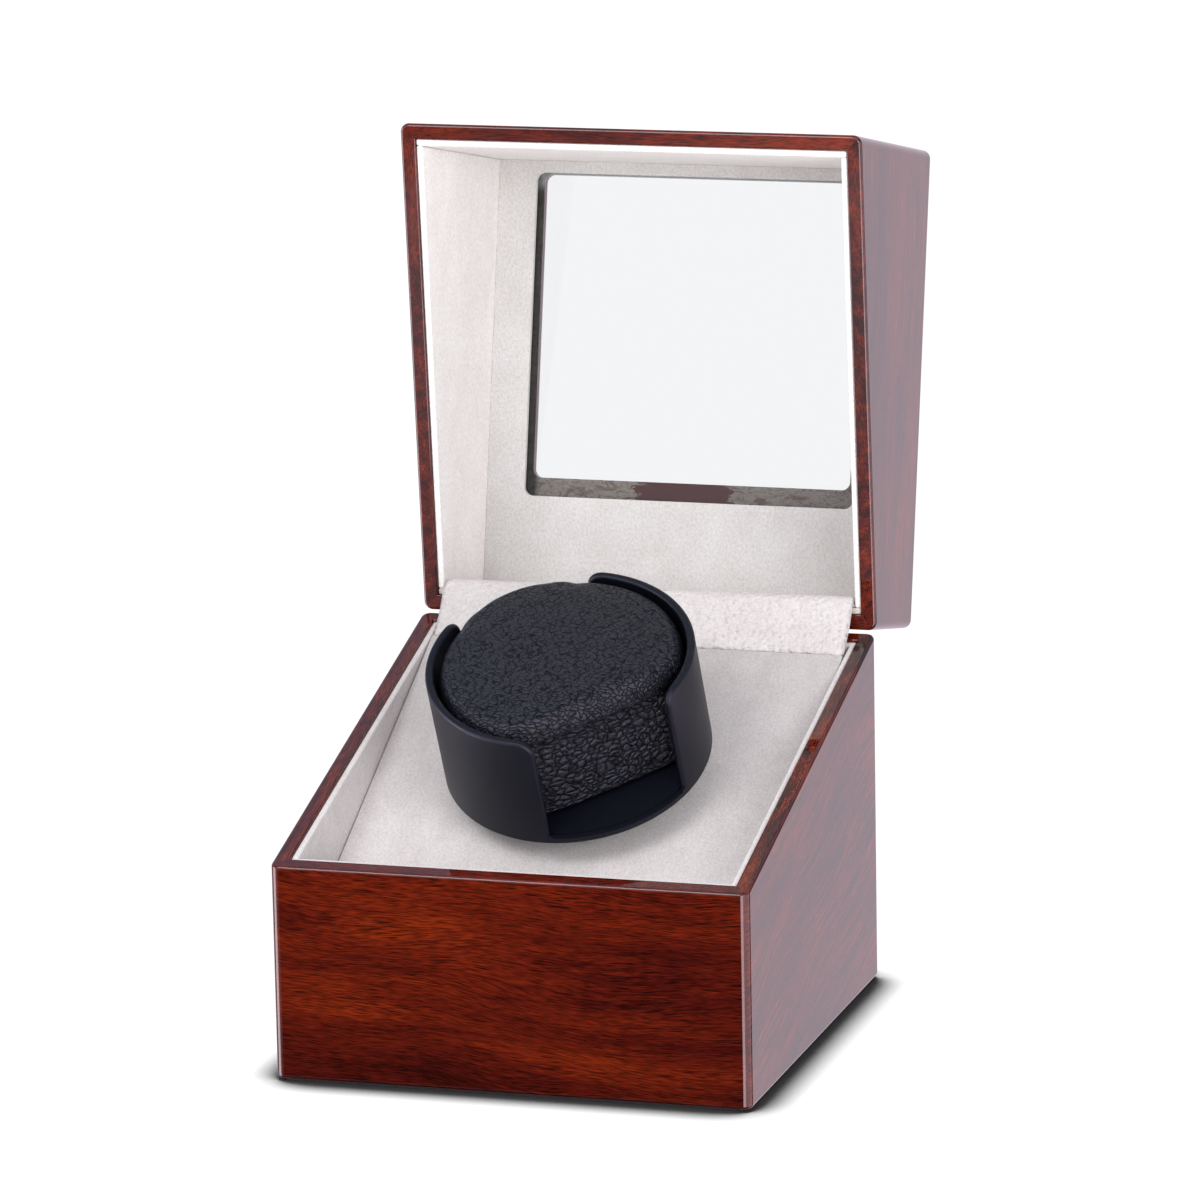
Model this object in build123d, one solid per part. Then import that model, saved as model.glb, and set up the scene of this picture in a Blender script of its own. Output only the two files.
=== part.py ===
from build123d import *
from math import acos, atan, cos, degrees, pi, radians, sin, sqrt, tan
import os

# Watch winder with its lid open. Millimetres. X to the right, Y to the back, Z up.
# The origin is at the centre of the underside.

# Box
box_width = 160.0
box_depth = 164.0
front_height = 71.0
back_height = 119.0
closed_height = 170.0
wall = 5.2
corner_radius = 3.0
bottom_edge_radius = 1.2
rim_edge_radius = 1.1
rim_inner_radius = 0.5
felt_thickness = 1.0
felt_inset = 2.0
felt_corner = 4.0
bottom_thickness = 5.0
top_thickness = 6.0
lining = 2.2
lining_recess = 0.8

# Lid and its hinge
open_angle = 101.8
lid_gap = 0.4
hinge_setback = 0.3
hinge_distance = 90.0
hinge_length = 28.0
knuckle_count = 5
knuckle_radius = 1.6
knuckle_gap = 0.2
pin_radius = 0.6
leaf_thickness = 1.0
leaf_width = 5.0
running_fit = 0.05
relief = 0.25
leaf_screw_radius = 0.6
leaf_screw_head = 1.3
leaf_screw_length = 5.0
leaf_screw_distance = 14.0
leaf_screw_setback = 2.9

# Window in the lid
window_width = 114.0
window_length = 105.4
window_front_margin = 12.2
window_corner = 3.0
window_edge_radius = 0.8
ring_side = 2.0
ring_front = 3.8
ring_back = 6.4
pane_thickness = 2.0
pane_lap = 1.5
pane_fit = 0.15

# Platform
platform_front_height = 38.2
platform_back_drop = 0.4254
platform_thickness = 4.0
cover_thickness = 1.0
side_fit = 0.3
platform_back_gap = 7.3
cleat_size = 8.0
cleat_start = 8.0
cleat_back_gap = 13.6
lining_below = 13.0
back_lining_height = 24.0
rail_depth = 18.0
block_size = 14.0
block_height = 20.0

# Hinge cover, a soft flap over the platform's back edge, the hinge and the lid's back lining.
# Its middle line is given as (y, z) steps from the edges that it passes.
flap_thickness = 2.4
flap_side_gap = 0.8
flap_corner = 6.0
flap_from_platform = (0.6, -0.9)
flap_from_base_lining = (-0.8, 2.3)
flap_before_lid_lining = [(-4.5, -3.4), (-2.5, 0.1), (0.5, 2.3)]
flap_along_lid_lining = [(5.2, 2.2), (14.4, 2.0)]
flap_bends = [5.0, 12.0, 8.0, 3.0, 6.0]

# Cup
cup_foot_y = 4.8
cup_clearance = 11.1
cup_radius = 44.5
cup_height = 42.4
cup_wall = 2.8
cup_floor = 3.2
cup_base_edge = 1.0
cup_rim_radius = 1.2
gap_turn = -55.0
gap_width = 45.6
gap_corner = 5.0
ledge_width = 2.0
ledge_drop = 0.8
hub_radius = 9.0
hub_clearance = 1.0

# Cushion
cushion_fit = 1.1
cushion_turn = -51.0
cushion_front_end = 27.0
cushion_front_bulge = 1.2
cushion_rear_end = 38.6
cushion_rear_bulge = 1.9
cushion_corner = 6.0
cushion_seat_gap = 0.3
seam_height = 33.5
crown_height = 43.8
crown_drop = 2.4
cap_edge_radius = 5.0
cap_seam_radius = 1.0
band_edge_radius = 1.8
band_seam_radius = 1.0
band_foot_inset = 1.0
band_seam_inset = 0.6

# Drive under the platform
spindle_radius = 4.0
spindle_end = 27.0
bush_wall = 2.0
bush_flange_radius = 10.0
bush_flange = 2.0
press_gap = 0.05
bracket_drop = 15.0
bracket_thickness = 2.0
bracket_width = 58.0
bracket_front = 27.0
bracket_back = 51.0
bracket_corner = 4.0
pillar_radius = 3.5
pillar_x = 24.0
pillar_front = 22.0
pillar_back = 46.0
lower_flange = 1.5
lower_barrel = 4.0
clip_thickness = 0.7
clip_radius = 6.2
clip_groove = 0.6
clip_mouth = 5.4
gear_module = 1.0
gear_teeth = 48
pinion_teeth = 12
gear_addendum = 0.7
pinion_addendum = 0.9
dedendum = 1.25
tooth_thinning = 0.16
pressure_angle = 20.0
gear_width = 5.0
gear_drop = 4.5
gear_hub_radius = 7.0
pinion_width = 7.0
motor_radius = 14.0
motor_length = 22.0
motor_edge_radius = 1.5
shaft_radius = 1.5
shaft_fit = 0.08
shaft_depth = 14.0
motor_boss_radius = 4.0
motor_screw_x = 9.5
small_screw_radius = 1.0
small_screw_head = 2.0
small_head_height = 1.2
small_screw_length = 6.0
cup_screw_radius = 1.5
cup_screw_head = 2.9
cup_screw_length = 11.0

# Board on the bottom panel
board_width = 60.0
board_depth = 38.0
board_thickness = 1.6
board_back_gap = 32.6
chip_width = 16.0
chip_depth = 10.0
chip_height = 2.4
capacitor_radius = 4.0
capacitor_height = 11.0
connector_width = 8.0
connector_depth = 12.0
connector_height = 7.0
part_offset = 19.0
standoff_height = 5.0
standoff_radius = 2.6
standoff_inset = 4.0
board_screw_bite = 2.0
board_hole_floor = 1.0

# Controls on the back
plate_width = 62.0
plate_height = 26.0
plate_thickness = 2.0
plate_corner = 2.0
plate_z = 31.0
plate_lap = 5.0
plate_screw_inset = 3.0
switch_x = -18.0
switch_width = 14.0
switch_height = 9.0
switch_bezel = 1.4
switch_lip = 1.0
switch_depth = 12.0
rocker_fit = 0.3
rocker_end_gap = 0.7
rocker_angle = 7.0
rocker_pivot_depth = 2.0
rocker_pin_radius = 0.8
rocker_proud = 0.6
rocker_depth = 5.0
rocker_foot = 5.4
knob_x = 0.0
knob_radius = 7.0
knob_length = 9.0
knob_gap = 0.5
knob_flutes = 18
knob_flute_radius = 0.6
knob_edge_radius = 0.8
knob_ridge_width = 1.4
knob_ridge_end = 5.8
selector_size = 13.0
selector_depth = 9.0
selector_neck = 3.5
knob_shaft_radius = 2.0
knob_shaft_length = 8.0
jack_x = 19.0
jack_neck = 4.0
jack_proud = 3.2
jack_bore = 2.8
jack_bore_depth = 9.0
jack_pin = 1.0
jack_pin_setback = 1.5
jack_body = 10.0
jack_body_depth = 12.0
nut_width = 10.5
nut_thickness = 2.0

# Bottom screws
bottom_screw_radius = 1.7
bottom_screw_head = 3.3
bottom_screw_length = 16.0
bottom_screw_inset = 11.0

# How far a cut runs past the face that it leaves
overcut = 1.0

half_width = box_width / 2
half_depth = box_depth / 2
base_z = felt_thickness
top_z = base_z + closed_height
rim_slope = degrees(atan((back_height - front_height) / box_depth))
inner_x = half_width - wall
inner_y = half_depth - wall
lined_x = inner_x - lining
lined_y = inner_y - lining
floor_z = base_z + bottom_thickness
platform_front = -lined_y + side_fit
platform_back = lined_y - platform_back_gap
platform_rise = (platform_back + half_depth) * tan(radians(rim_slope)) - platform_back_drop
platform_rise = platform_rise + front_height - platform_front_height
platform_slope = degrees(atan(platform_rise / (platform_back + half_depth)))
board_y = lined_y - board_back_gap
cushion_radius = cup_radius - cup_wall - cushion_fit
small_screw_hole = small_screw_radius + press_gap

parts = {}


def rim_z(y, above=0.0):
    """Height of the base's rim plane at y, moved up square to that plane."""
    slope = radians(rim_slope)
    return base_z + front_height + tan(slope) * (y + half_depth) + above / cos(slope)


def platform_z(y, above=0.0):
    """Height of the platform's top at y, moved up square to that plane."""
    slope = radians(platform_slope)
    return base_z + platform_front_height + tan(slope) * (y + half_depth) + above / cos(slope)


hinge_y = half_depth + hinge_setback
hinge_z = rim_z(hinge_y, lid_gap / 2)
hinge_axis = Axis((0, hinge_y, hinge_z), (1, 0, 0))
hinge_plane = Plane(
    origin=(0, hinge_y, hinge_z),
    x_dir=(1, 0, 0),
    z_dir=(0, -sin(radians(rim_slope)), cos(radians(rim_slope))),
)
cup_plane = Plane(
    origin=(0, cup_foot_y, platform_z(cup_foot_y)),
    x_dir=(1, 0, 0),
    z_dir=(0, -sin(radians(platform_slope)), cos(radians(platform_slope))),
)


def block(low, high):
    """A box between two corners."""
    size = [b - a for a, b in zip(low, high)]
    middle = [(a + b) / 2 for a, b in zip(low, high)]
    return Pos(*middle) * Box(*size)


def rod(radius, low, high, x=0.0, y=0.0):
    """A cylinder along Z from low to high."""
    return Pos(x, y, (low + high) / 2) * Cylinder(radius, high - low)


def cone(bottom_radius, top_radius, low, high, x=0.0, y=0.0):
    """A cone along Z from low to high."""
    return Pos(x, y, (low + high) / 2) * Cone(bottom_radius, top_radius, high - low)


def side_prism(points, left, right):
    """A (y, z) outline pushed along X from left to right."""
    return Pos(left, 0, 0) * extrude(Plane.YZ * Polygon(*points, align=None), right - left, dir=(1, 0, 0))


def side_rod(radius, x, length):
    """A cylinder along X with its middle at x."""
    return Pos(x, 0, 0) * Rot(0, 90, 0) * Cylinder(radius, length)


def back_rod(radius, front, back, x, z):
    """A cylinder along Y from front to back."""
    return Pos(x, (front + back) / 2, z) * Rot(90, 0, 0) * Cylinder(radius, back - front)


def turned(y, z):
    """Where a (y, z) point of the closed lid lies when the lid is open."""
    angle = radians(-open_angle)
    dy, dz = y - hinge_y, z - hinge_z
    return hinge_y + dy * cos(angle) - dz * sin(angle), hinge_z + dy * sin(angle) + dz * cos(angle)


def opened(shape):
    """Turns a shape that was drawn on the closed lid to the open lid."""
    return shape.rotate(hinge_axis, -open_angle)


def mitre(side):
    """The space of one wall of the box, bounded by mitre planes at its two corners."""
    reach = 3 * wall
    if side in ("front", "back"):
        edge = -half_depth if side == "front" else half_depth
        inward = reach if side == "front" else -reach
        outline = [
            (-half_width, edge),
            (half_width, edge),
            (half_width - reach, edge + inward),
            (-half_width + reach, edge + inward),
        ]
    else:
        edge = -half_width if side == "left" else half_width
        inward = reach if side == "left" else -reach
        outline = [
            (edge, -half_depth),
            (edge, half_depth),
            (edge + inward, half_depth - reach),
            (edge + inward, -half_depth + reach),
        ]
    return extrude(Polygon(*outline, align=None), top_z + wall, dir=(0, 0, 1))


def outer_shell(outline, rounded_end):
    """The hollow box of the base or the lid. The end that is not the rim has the larger rounding."""
    shell = side_prism(outline, -half_width, half_width)
    uprights = shell.edges().filter_by(Axis.Z)
    shell = fillet(uprights, corner_radius)
    flat_end = shell.faces().filter_by(Axis.Z)[0]
    shell = fillet(flat_end.edges(), rounded_end)
    rim = shell.faces().filter_by(lambda f: f.normal_at().Z ** 2 < 0.999 and abs(f.normal_at().X) < 0.01)
    rim = rim.filter_by(GeomType.PLANE).filter_by(lambda f: abs(f.normal_at().Z) > 0.5)[0]
    shell = fillet(rim.edges(), rim_edge_radius)
    hollow = block((-inner_x, -inner_y, -wall), (inner_x, inner_y, top_z + wall))
    shell = shell - hollow
    inner_rim = [
        e
        for e in shell.edges()
        if abs(abs(e.center().X) - inner_x) < 0.01
        and abs(e.tangent_at(0.5).X) < 0.01
        and 0.1 < abs(e.tangent_at(0.5).Y) < 0.99
        or abs(abs(e.center().Y) - inner_y) < 0.01
        and abs(e.tangent_at(0.5).X) > 0.99
        and base_z + front_height - wall < e.center().Z < base_z + back_height + wall
    ]
    return fillet(inner_rim, rim_inner_radius)


def knuckle_cuts():
    """Room for the knuckles in the back walls, in row position with the lid closed."""
    room = None
    for x in hinge_middles():
        cut = side_rod(knuckle_radius + relief, x, hinge_length + 2 * relief)
        room = cut if room is None else room + cut
    return hinge_plane * room


def hinge_middles():
    return (-hinge_distance / 2, hinge_distance / 2)


def leaf_shapes(knuckles, side):
    """The two leaves of one side of the hinges. side is -1 for the base and 1 for the lid."""
    pitch = hinge_length / knuckle_count
    leaves = []
    for x in hinge_middles():
        start = x - hinge_length / 2
        inner = side * lid_gap / 2
        outer = inner + side * leaf_thickness
        low, high = min(inner, outer), max(inner, outer)
        leaf = block((start, -leaf_width, low), (start + hinge_length, 0, high))
        for index in range(knuckle_count):
            first = start + index * pitch
            middle = first + pitch / 2
            if index in knuckles:
                leaf = leaf + side_rod(knuckle_radius, middle, pitch - knuckle_gap)
            else:
                leaf = leaf - side_rod(knuckle_radius + relief, middle, pitch + knuckle_gap)
        leaves.append(leaf - side_rod(pin_radius + running_fit, x, 2 * hinge_length))
    return leaves


def leaf_screw_points():
    half = leaf_screw_distance / 2
    return [(x + dx, -leaf_screw_setback) for x in hinge_middles() for dx in (-half, half)]


def leaf_screw(x, y, side, play=0.0):
    """A countersunk screw of a hinge leaf, or with play its hole."""
    face = side * lid_gap / 2
    neck = face + side * (leaf_thickness - 0.2)
    tip = face + side * (leaf_screw_length + play)
    shank = rod(leaf_screw_radius + play, min(face, tip), max(face, tip), x, y)
    wide, narrow = leaf_screw_head + play, leaf_screw_radius + play
    if side < 0:
        return shank + cone(narrow, wide, neck, face, x, y)
    return shank + cone(wide, narrow, face, neck, x, y)


def leaf_pocket(side):
    """The recess of the leaves in a back wall, with the holes of their screws."""
    pocket = None
    face = side * lid_gap / 2
    seat = face + side * leaf_thickness
    for x in hinge_middles():
        reach = hinge_length / 2 + relief
        low, high = min(0, seat), max(0, seat)
        cut = block((x - reach, -leaf_width - relief, low), (x + reach, knuckle_radius, high))
        pocket = cut if pocket is None else pocket + cut
    for x, y in leaf_screw_points():
        pocket = pocket + leaf_screw(x, y, side, press_gap)
    return hinge_plane * pocket


def base_walls():
    outline = [
        (-half_depth, base_z),
        (half_depth, base_z),
        (half_depth, rim_z(half_depth)),
        (-half_depth, rim_z(-half_depth)),
    ]
    shell = outer_shell(outline, bottom_edge_radius)
    for side in ("front", "left", "right", "back"):
        panel = shell & mitre(side)
        if side == "back":
            panel = panel - knuckle_cuts() - leaf_pocket(-1)
            opening_x = plate_width / 2 - plate_lap
            opening_z = plate_height / 2 - plate_lap
            low = (-opening_x, inner_y - wall, plate_z - opening_z)
            high = (opening_x, half_depth + wall, plate_z + opening_z)
            panel = panel - block(low, high)
            hole_front = half_depth - small_screw_length
            for x, z in plate_screw_points():
                panel = panel - back_rod(small_screw_hole, hole_front, half_depth + overcut, x, z)
        parts[f"base_{side}_panel"] = panel
    bottom = block((-inner_x, -inner_y, base_z), (inner_x, inner_y, floor_z))
    for x, y in bottom_screw_points():
        bottom = bottom - bottom_screw(x, y, press_gap)
    for x, y in standoff_points():
        bottom = bottom - rod(small_screw_hole, base_z + board_hole_floor, floor_z + overcut, x, y)
    parts["base_bottom_panel"] = bottom
    felt_x = half_width - felt_inset
    felt_y = half_depth - felt_inset
    felt = block((-felt_x, -felt_y, 0), (felt_x, felt_y, felt_thickness))
    parts["base_felt"] = fillet(felt.edges().filter_by(Axis.Z), felt_corner)


def bottom_screw_points():
    x = half_width - bottom_screw_inset
    y = half_depth - bottom_screw_inset
    return [(a * x, b * y) for a in (-1, 1) for b in (-1, 1)]


def bottom_screw(x, y, play=0.0):
    neck = base_z + bottom_screw_head - bottom_screw_radius
    radius = bottom_screw_radius + play
    shank = rod(radius, base_z, base_z + bottom_screw_length + play, x, y)
    return shank + cone(bottom_screw_head + play, radius, base_z, neck, x, y)


def corner_blocks():
    """Triangular glue blocks in the corners, with the bottom panel's screws in them."""
    blocks, screws = [], []
    for x, y in bottom_screw_points():
        sx, sy = (1 if x > 0 else -1), (1 if y > 0 else -1)
        outline = [
            (sx * inner_x, sy * inner_y),
            (sx * (inner_x - block_size), sy * inner_y),
            (sx * inner_x, sy * (inner_y - block_size)),
        ]
        glue = Pos(0, 0, floor_z) * extrude(Polygon(*outline, align=None), block_height, dir=(0, 0, 1))
        blocks.append(glue - bottom_screw(x, y, press_gap))
        screws.append(bottom_screw(x, y))
    parts["corner_blocks"] = blocks
    parts["bottom_screws"] = screws


def base_linings():
    """Velvet boards on the walls of the well, from just under the rim to under the platform."""
    def side_outline(front, back):
        return [
            (front, platform_z(front, -lining_below)),
            (back, platform_z(back, -lining_below)),
            (back, rim_z(back, -lining_recess)),
            (front, rim_z(front, -lining_recess)),
        ]

    parts["base_lining_left"] = side_prism(side_outline(-lined_y, lined_y), -inner_x, -lined_x)
    parts["base_lining_right"] = side_prism(side_outline(-lined_y, lined_y), lined_x, inner_x)
    parts["base_lining_front"] = side_prism(side_outline(-inner_y, -lined_y), -inner_x, inner_x)
    top_back = rim_z(lined_y, -lining_recess)
    back = [
        (lined_y, top_back - back_lining_height),
        (inner_y, top_back - back_lining_height),
        (inner_y, rim_z(inner_y, -lining_recess)),
        (lined_y, top_back),
    ]
    parts["base_lining_back"] = side_prism(back, -inner_x, inner_x)


def platform():
    """The sloping board, its cover, the cleats under it and the rail behind it."""
    x = lined_x - side_fit
    front = platform_front
    back = platform_back
    under = cover_thickness + platform_thickness

    def slab(above, below):
        outline = [
            (front, platform_z(front, below)),
            (back, platform_z(back, below)),
            (back, platform_z(back, above)),
            (front, platform_z(front, above)),
        ]
        return side_prism(outline, -x, x)

    bush_hole = spindle_radius + running_fit + bush_wall
    cover = slab(0, -cover_thickness)
    parts["platform_cover"] = cover - cup_plane * rod(bush_hole + side_fit, -under, under)
    board = slab(-cover_thickness, -under)
    parts["platform_board"] = board - cup_plane * rod(bush_hole + press_gap, -2 * under, under)
    cleat_front = front + cleat_start
    cleat_back = back - cleat_back_gap
    outline = [
        (cleat_front, platform_z(cleat_front, -under - cleat_size)),
        (cleat_back, platform_z(cleat_back, -under - cleat_size)),
        (cleat_back, platform_z(cleat_back, -under)),
        (cleat_front, platform_z(cleat_front, -under)),
    ]
    parts["platform_cleats"] = [
        side_prism(outline, -lined_x, -lined_x + cleat_size),
        side_prism(outline, lined_x - cleat_size, lined_x),
    ]
    rail_top = platform_z(back, -under)
    parts["platform_back_rail"] = block((-x, back, rail_top - rail_depth), (x, lined_y, rail_top))


def hinge_cover():
    """The soft flap that bridges the platform, the hinge and the lid's back lining."""
    edge_y, edge_z = turned(lined_y, rim_z(lined_y, lid_gap + lining_recess))
    up = radians(90 - open_angle)
    starts = [(platform_back, platform_z(platform_back)), (lined_y, rim_z(lined_y, -lining_recess))]
    steps = [flap_from_platform, flap_from_base_lining]
    line = [(y + dy, z + dz) for (y, z), (dy, dz) in zip(starts, steps)]
    line += [(edge_y + dy, edge_z + dz) for dy, dz in flap_before_lid_lining]
    for along, above in flap_along_lid_lining:
        y = edge_y + along * cos(up) - above * sin(up)
        z = edge_z + along * sin(up) + above * cos(up)
        line.append((y, z))
    middle = FilletPolyline(*line, radius=flap_bends)
    outline = make_face(offset(middle, flap_thickness / 2, side=Side.BOTH))
    reach = lined_x - flap_side_gap
    flap = Pos(-reach, 0, 0) * extrude(Plane.YZ * outline, 2 * reach, dir=(1, 0, 0))
    far_y = line[-1][0] + flap_thickness / 2
    keep = block((-reach, platform_back, 0), (reach, far_y, top_z))
    keep = fillet(keep.edges().filter_by(Axis.Z).group_by(Axis.Y)[-1], flap_corner)
    parts["hinge_cover"] = flap & keep


def hinges():
    odd = [i for i in range(knuckle_count) if i % 2]
    even = [i for i in range(knuckle_count) if i % 2 == 0]
    base_leaves = leaf_shapes(even, -1)
    lid_leaves = leaf_shapes(odd, 1)
    points = leaf_screw_points()
    for leaves, side in ((base_leaves, -1), (lid_leaves, 1)):
        for index, leaf in enumerate(leaves):
            for x, y in points[2 * index : 2 * index + 2]:
                leaves[index] = leaves[index] - leaf_screw(x, y, side, press_gap)
    parts["hinge_base_leaves"] = [hinge_plane * s for s in base_leaves]
    parts["hinge_lid_leaves"] = [opened(hinge_plane * s) for s in lid_leaves]
    parts["hinge_pins"] = [hinge_plane * side_rod(pin_radius, x, hinge_length) for x in hinge_middles()]
    parts["hinge_base_screws"] = [hinge_plane * leaf_screw(x, y, -1) for x, y in points]
    parts["hinge_lid_screws"] = [opened(hinge_plane * leaf_screw(x, y, 1)) for x, y in points]


def lid():
    """Walls, top frame, pane and linings of the lid, drawn closed and then opened."""
    outline = [
        (-half_depth, rim_z(-half_depth, lid_gap)),
        (half_depth, rim_z(half_depth, lid_gap)),
        (half_depth, top_z),
        (-half_depth, top_z),
    ]
    shell = outer_shell(outline, corner_radius)
    for side in ("front", "left", "right", "back"):
        panel = shell & mitre(side)
        if side == "back":
            panel = panel - knuckle_cuts() - leaf_pocket(1)
        parts[f"lid_{side}_panel"] = opened(panel)

    hole_front = -half_depth + window_front_margin
    hole_back = hole_front + window_length
    hole_middle = (hole_front + hole_back) / 2
    under = top_z - top_thickness
    top = block((-inner_x, -inner_y, under), (inner_x, inner_y, top_z))
    hole = extrude(RectangleRounded(window_width, window_length, window_corner), 4 * top_thickness)
    top = top - Pos(0, hole_middle, under - top_thickness) * hole
    mouth = top.faces().sort_by(Axis.Z)[-1].inner_wires()[0].edges()
    top = fillet(mouth, window_edge_radius)

    opening_width = window_width + 2 * ring_side
    opening_front = hole_front - ring_front
    opening_back = hole_back + ring_back
    opening_length = opening_back - opening_front
    opening_middle = (opening_front + opening_back) / 2
    pane_width = opening_width + 2 * pane_lap
    pane_length = opening_length + 2 * pane_lap
    rebate = block(
        (-pane_width / 2 - pane_fit, opening_middle - pane_length / 2 - pane_fit, under - overcut),
        (pane_width / 2 + pane_fit, opening_middle + pane_length / 2 + pane_fit, under + pane_thickness),
    )
    parts["lid_top_panel"] = opened(top - rebate)
    pane = extrude(RectangleRounded(pane_width, pane_length, window_corner), pane_thickness)
    parts["lid_window_pane"] = opened(Pos(0, opening_middle, under) * pane)

    board = block((-lined_x, -lined_y, under - lining), (lined_x, lined_y, under))
    opening = extrude(RectangleRounded(opening_width, opening_length, window_corner), 4 * lining)
    parts["lid_lining_top"] = opened(board - Pos(0, opening_middle, under - 2 * lining) * opening)

    def wall_outline(front, back):
        return [
            (front, rim_z(front, lid_gap + lining_recess)),
            (back, rim_z(back, lid_gap + lining_recess)),
            (back, under),
            (front, under),
        ]

    parts["lid_lining_left"] = opened(side_prism(wall_outline(-lined_y, lined_y), -inner_x, -lined_x))
    parts["lid_lining_right"] = opened(side_prism(wall_outline(-lined_y, lined_y), lined_x, inner_x))
    parts["lid_lining_front"] = opened(side_prism(wall_outline(-inner_y, -lined_y), -inner_x, inner_x))
    parts["lid_lining_back"] = opened(side_prism(wall_outline(lined_y, inner_y), -inner_x, inner_x))


def is_rim_edge(edge):
    """True for the cup's edges above the floor that run along its rim or up the sides of a gap."""
    if edge.center().Z < cup_floor + cup_rim_radius:
        return False
    tangent = edge.tangent_at(0.5)
    outward = Vector(edge.center().X, edge.center().Y, 0)
    return abs(tangent.cross(outward).Z) + abs(tangent.Z) > 0.3


def cup():
    """The turntable cup: a low drum with two strap gaps, a ledge in each, and a hub under the floor."""
    body = rod(cup_radius, 0, cup_height)
    body = fillet(body.edges().group_by(Axis.Z)[0], cup_base_edge)
    body = body - rod(cup_radius - cup_wall, cup_floor, cup_height + overcut)
    side_x = gap_width / 2
    flare_z = cup_height - gap_corner
    profile = Pos(0, (cup_floor + 2 * cup_height) / 2) * Rectangle(gap_width, 2 * cup_height - cup_floor)
    for sign in (-1, 1):
        middle = Pos(sign * (side_x + gap_corner / 2), flare_z + gap_corner / 2)
        square = middle * Rectangle(gap_corner, gap_corner)
        profile = profile + (square - Pos(sign * (side_x + gap_corner), flare_z) * Circle(gap_corner))
    cut = extrude(Plane.YZ * profile, 2 * cup_radius, both=True)
    body = body - cut
    body = fillet([e for e in body.edges() if is_rim_edge(e)], cup_rim_radius)
    step_height = cup_floor - ledge_drop
    ring = rod(2 * cup_radius, step_height, 2 * cup_floor) - rod(cup_radius - ledge_width, 0, 3 * cup_floor)
    body = body - (ring & block((-2 * cup_radius, -side_x, 0), (2 * cup_radius, side_x, 3 * cup_floor)))
    body = body + rod(hub_radius, hub_clearance - cup_clearance, 0)
    body = body - rod(spindle_radius + press_gap, -cup_clearance, 0)
    body = body - Pos(0, 0, -cup_clearance) * cup_screw(press_gap)
    parts["cup"] = cup_plane * (Pos(0, 0, cup_clearance) * Rot(0, 0, gap_turn) * body)


def cup_screw(play=0.0):
    """The countersunk screw in the cup's floor, from the platform's surface up."""
    top = cup_clearance + cup_floor
    neck = top - (cup_screw_head - cup_screw_radius)
    shank = rod(cup_screw_radius + play, top - cup_screw_length - play, top)
    return shank + cone(cup_screw_radius + play, cup_screw_head + play, neck, top)


def cushion_outline(inset=0.0):
    """The cushion's plan: a disc cut off at the front strap gap, nearly full at the rear one, both bulging."""
    radius = cushion_radius - inset
    front = cushion_front_end - inset
    rear = cushion_rear_end - inset
    front_half = sqrt(radius**2 - front**2)
    rear_half = sqrt(radius**2 - rear**2)
    sides = [
        ThreePointArc((front, -front_half), (front + cushion_front_bulge, 0), (front, front_half)),
        ThreePointArc((front, front_half), (0, radius), (-rear, rear_half)),
        ThreePointArc((-rear, rear_half), (-rear - cushion_rear_bulge, 0), (-rear, -rear_half)),
        ThreePointArc((-rear, -rear_half), (0, -radius), (front, -front_half)),
    ]
    plan = make_face(sides)
    return fillet(plan.vertices(), cushion_corner)


def cushion():
    """The cushion in its cup: a side band that stands on the floor, and a crowned cap above the seam."""
    seat = cup_floor + cushion_seat_gap
    levels = [(seat, band_foot_inset), ((seat + seam_height) / 2, 0.0), (seam_height, band_seam_inset)]
    band = loft([Pos(0, 0, z) * cushion_outline(inset) for z, inset in levels])
    band = fillet(band.edges().group_by(Axis.Z)[0], band_edge_radius)
    band = fillet(band.edges().group_by(Axis.Z)[-1], band_seam_radius)
    crown_radius = (cushion_radius**2 + crown_drop**2) / (2 * crown_drop)
    cap = Pos(0, 0, seam_height) * extrude(cushion_outline(), 2 * crown_height)
    cap = cap & Pos(0, 0, crown_height - crown_radius) * Sphere(crown_radius)
    upper = cap.edges().filter_by(lambda e: e.center().Z > seam_height + cap_seam_radius)
    cap = fillet(upper.filter_by(lambda e: abs(e.tangent_at(0.5).Z) < 0.4), cap_edge_radius)
    cap = fillet(cap.edges().group_by(Axis.Z)[0], cap_seam_radius)
    place = cup_plane * Pos(0, 0, cup_clearance) * Rot(0, 0, cushion_turn)
    parts["cushion_band"] = place * band
    parts["cushion_cap"] = place * cap


def pillar_points():
    return [(sx * pillar_x, u) for sx in (-1, 1) for u in (-pillar_front, pillar_back)]


def gear_outline(teeth, addendum, phase):
    """A spur gear's outline. A tooth's middle is at phase degrees; tooth flanks follow the involute."""
    pitch_radius = gear_module * teeth / 2
    base_radius = pitch_radius * cos(radians(pressure_angle))
    tip_radius = pitch_radius + addendum * gear_module
    root_radius = pitch_radius - dedendum * gear_module
    start_radius = max(base_radius, root_radius)

    def involute(radius):
        turn = acos(min(1.0, base_radius / radius))
        return tan(turn) - turn

    half_tooth = (pi * gear_module / 2 - tooth_thinning) / (2 * pitch_radius)
    steps = 5
    flank = []
    for step in range(steps):
        radius = start_radius + (tip_radius - start_radius) * step / (steps - 1)
        flank.append((radius, half_tooth + involute(pitch_radius) - involute(radius)))
    if root_radius < start_radius:
        flank.insert(0, (root_radius, flank[0][1]))
    points = []
    for tooth in range(teeth):
        middle = radians(phase) + 2 * pi * tooth / teeth
        for radius, angle in flank:
            points.append((radius * cos(middle - angle), radius * sin(middle - angle)))
        for radius, angle in reversed(flank):
            points.append((radius * cos(middle + angle), radius * sin(middle + angle)))
    return make_face(Polyline(*points, close=True))


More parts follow.
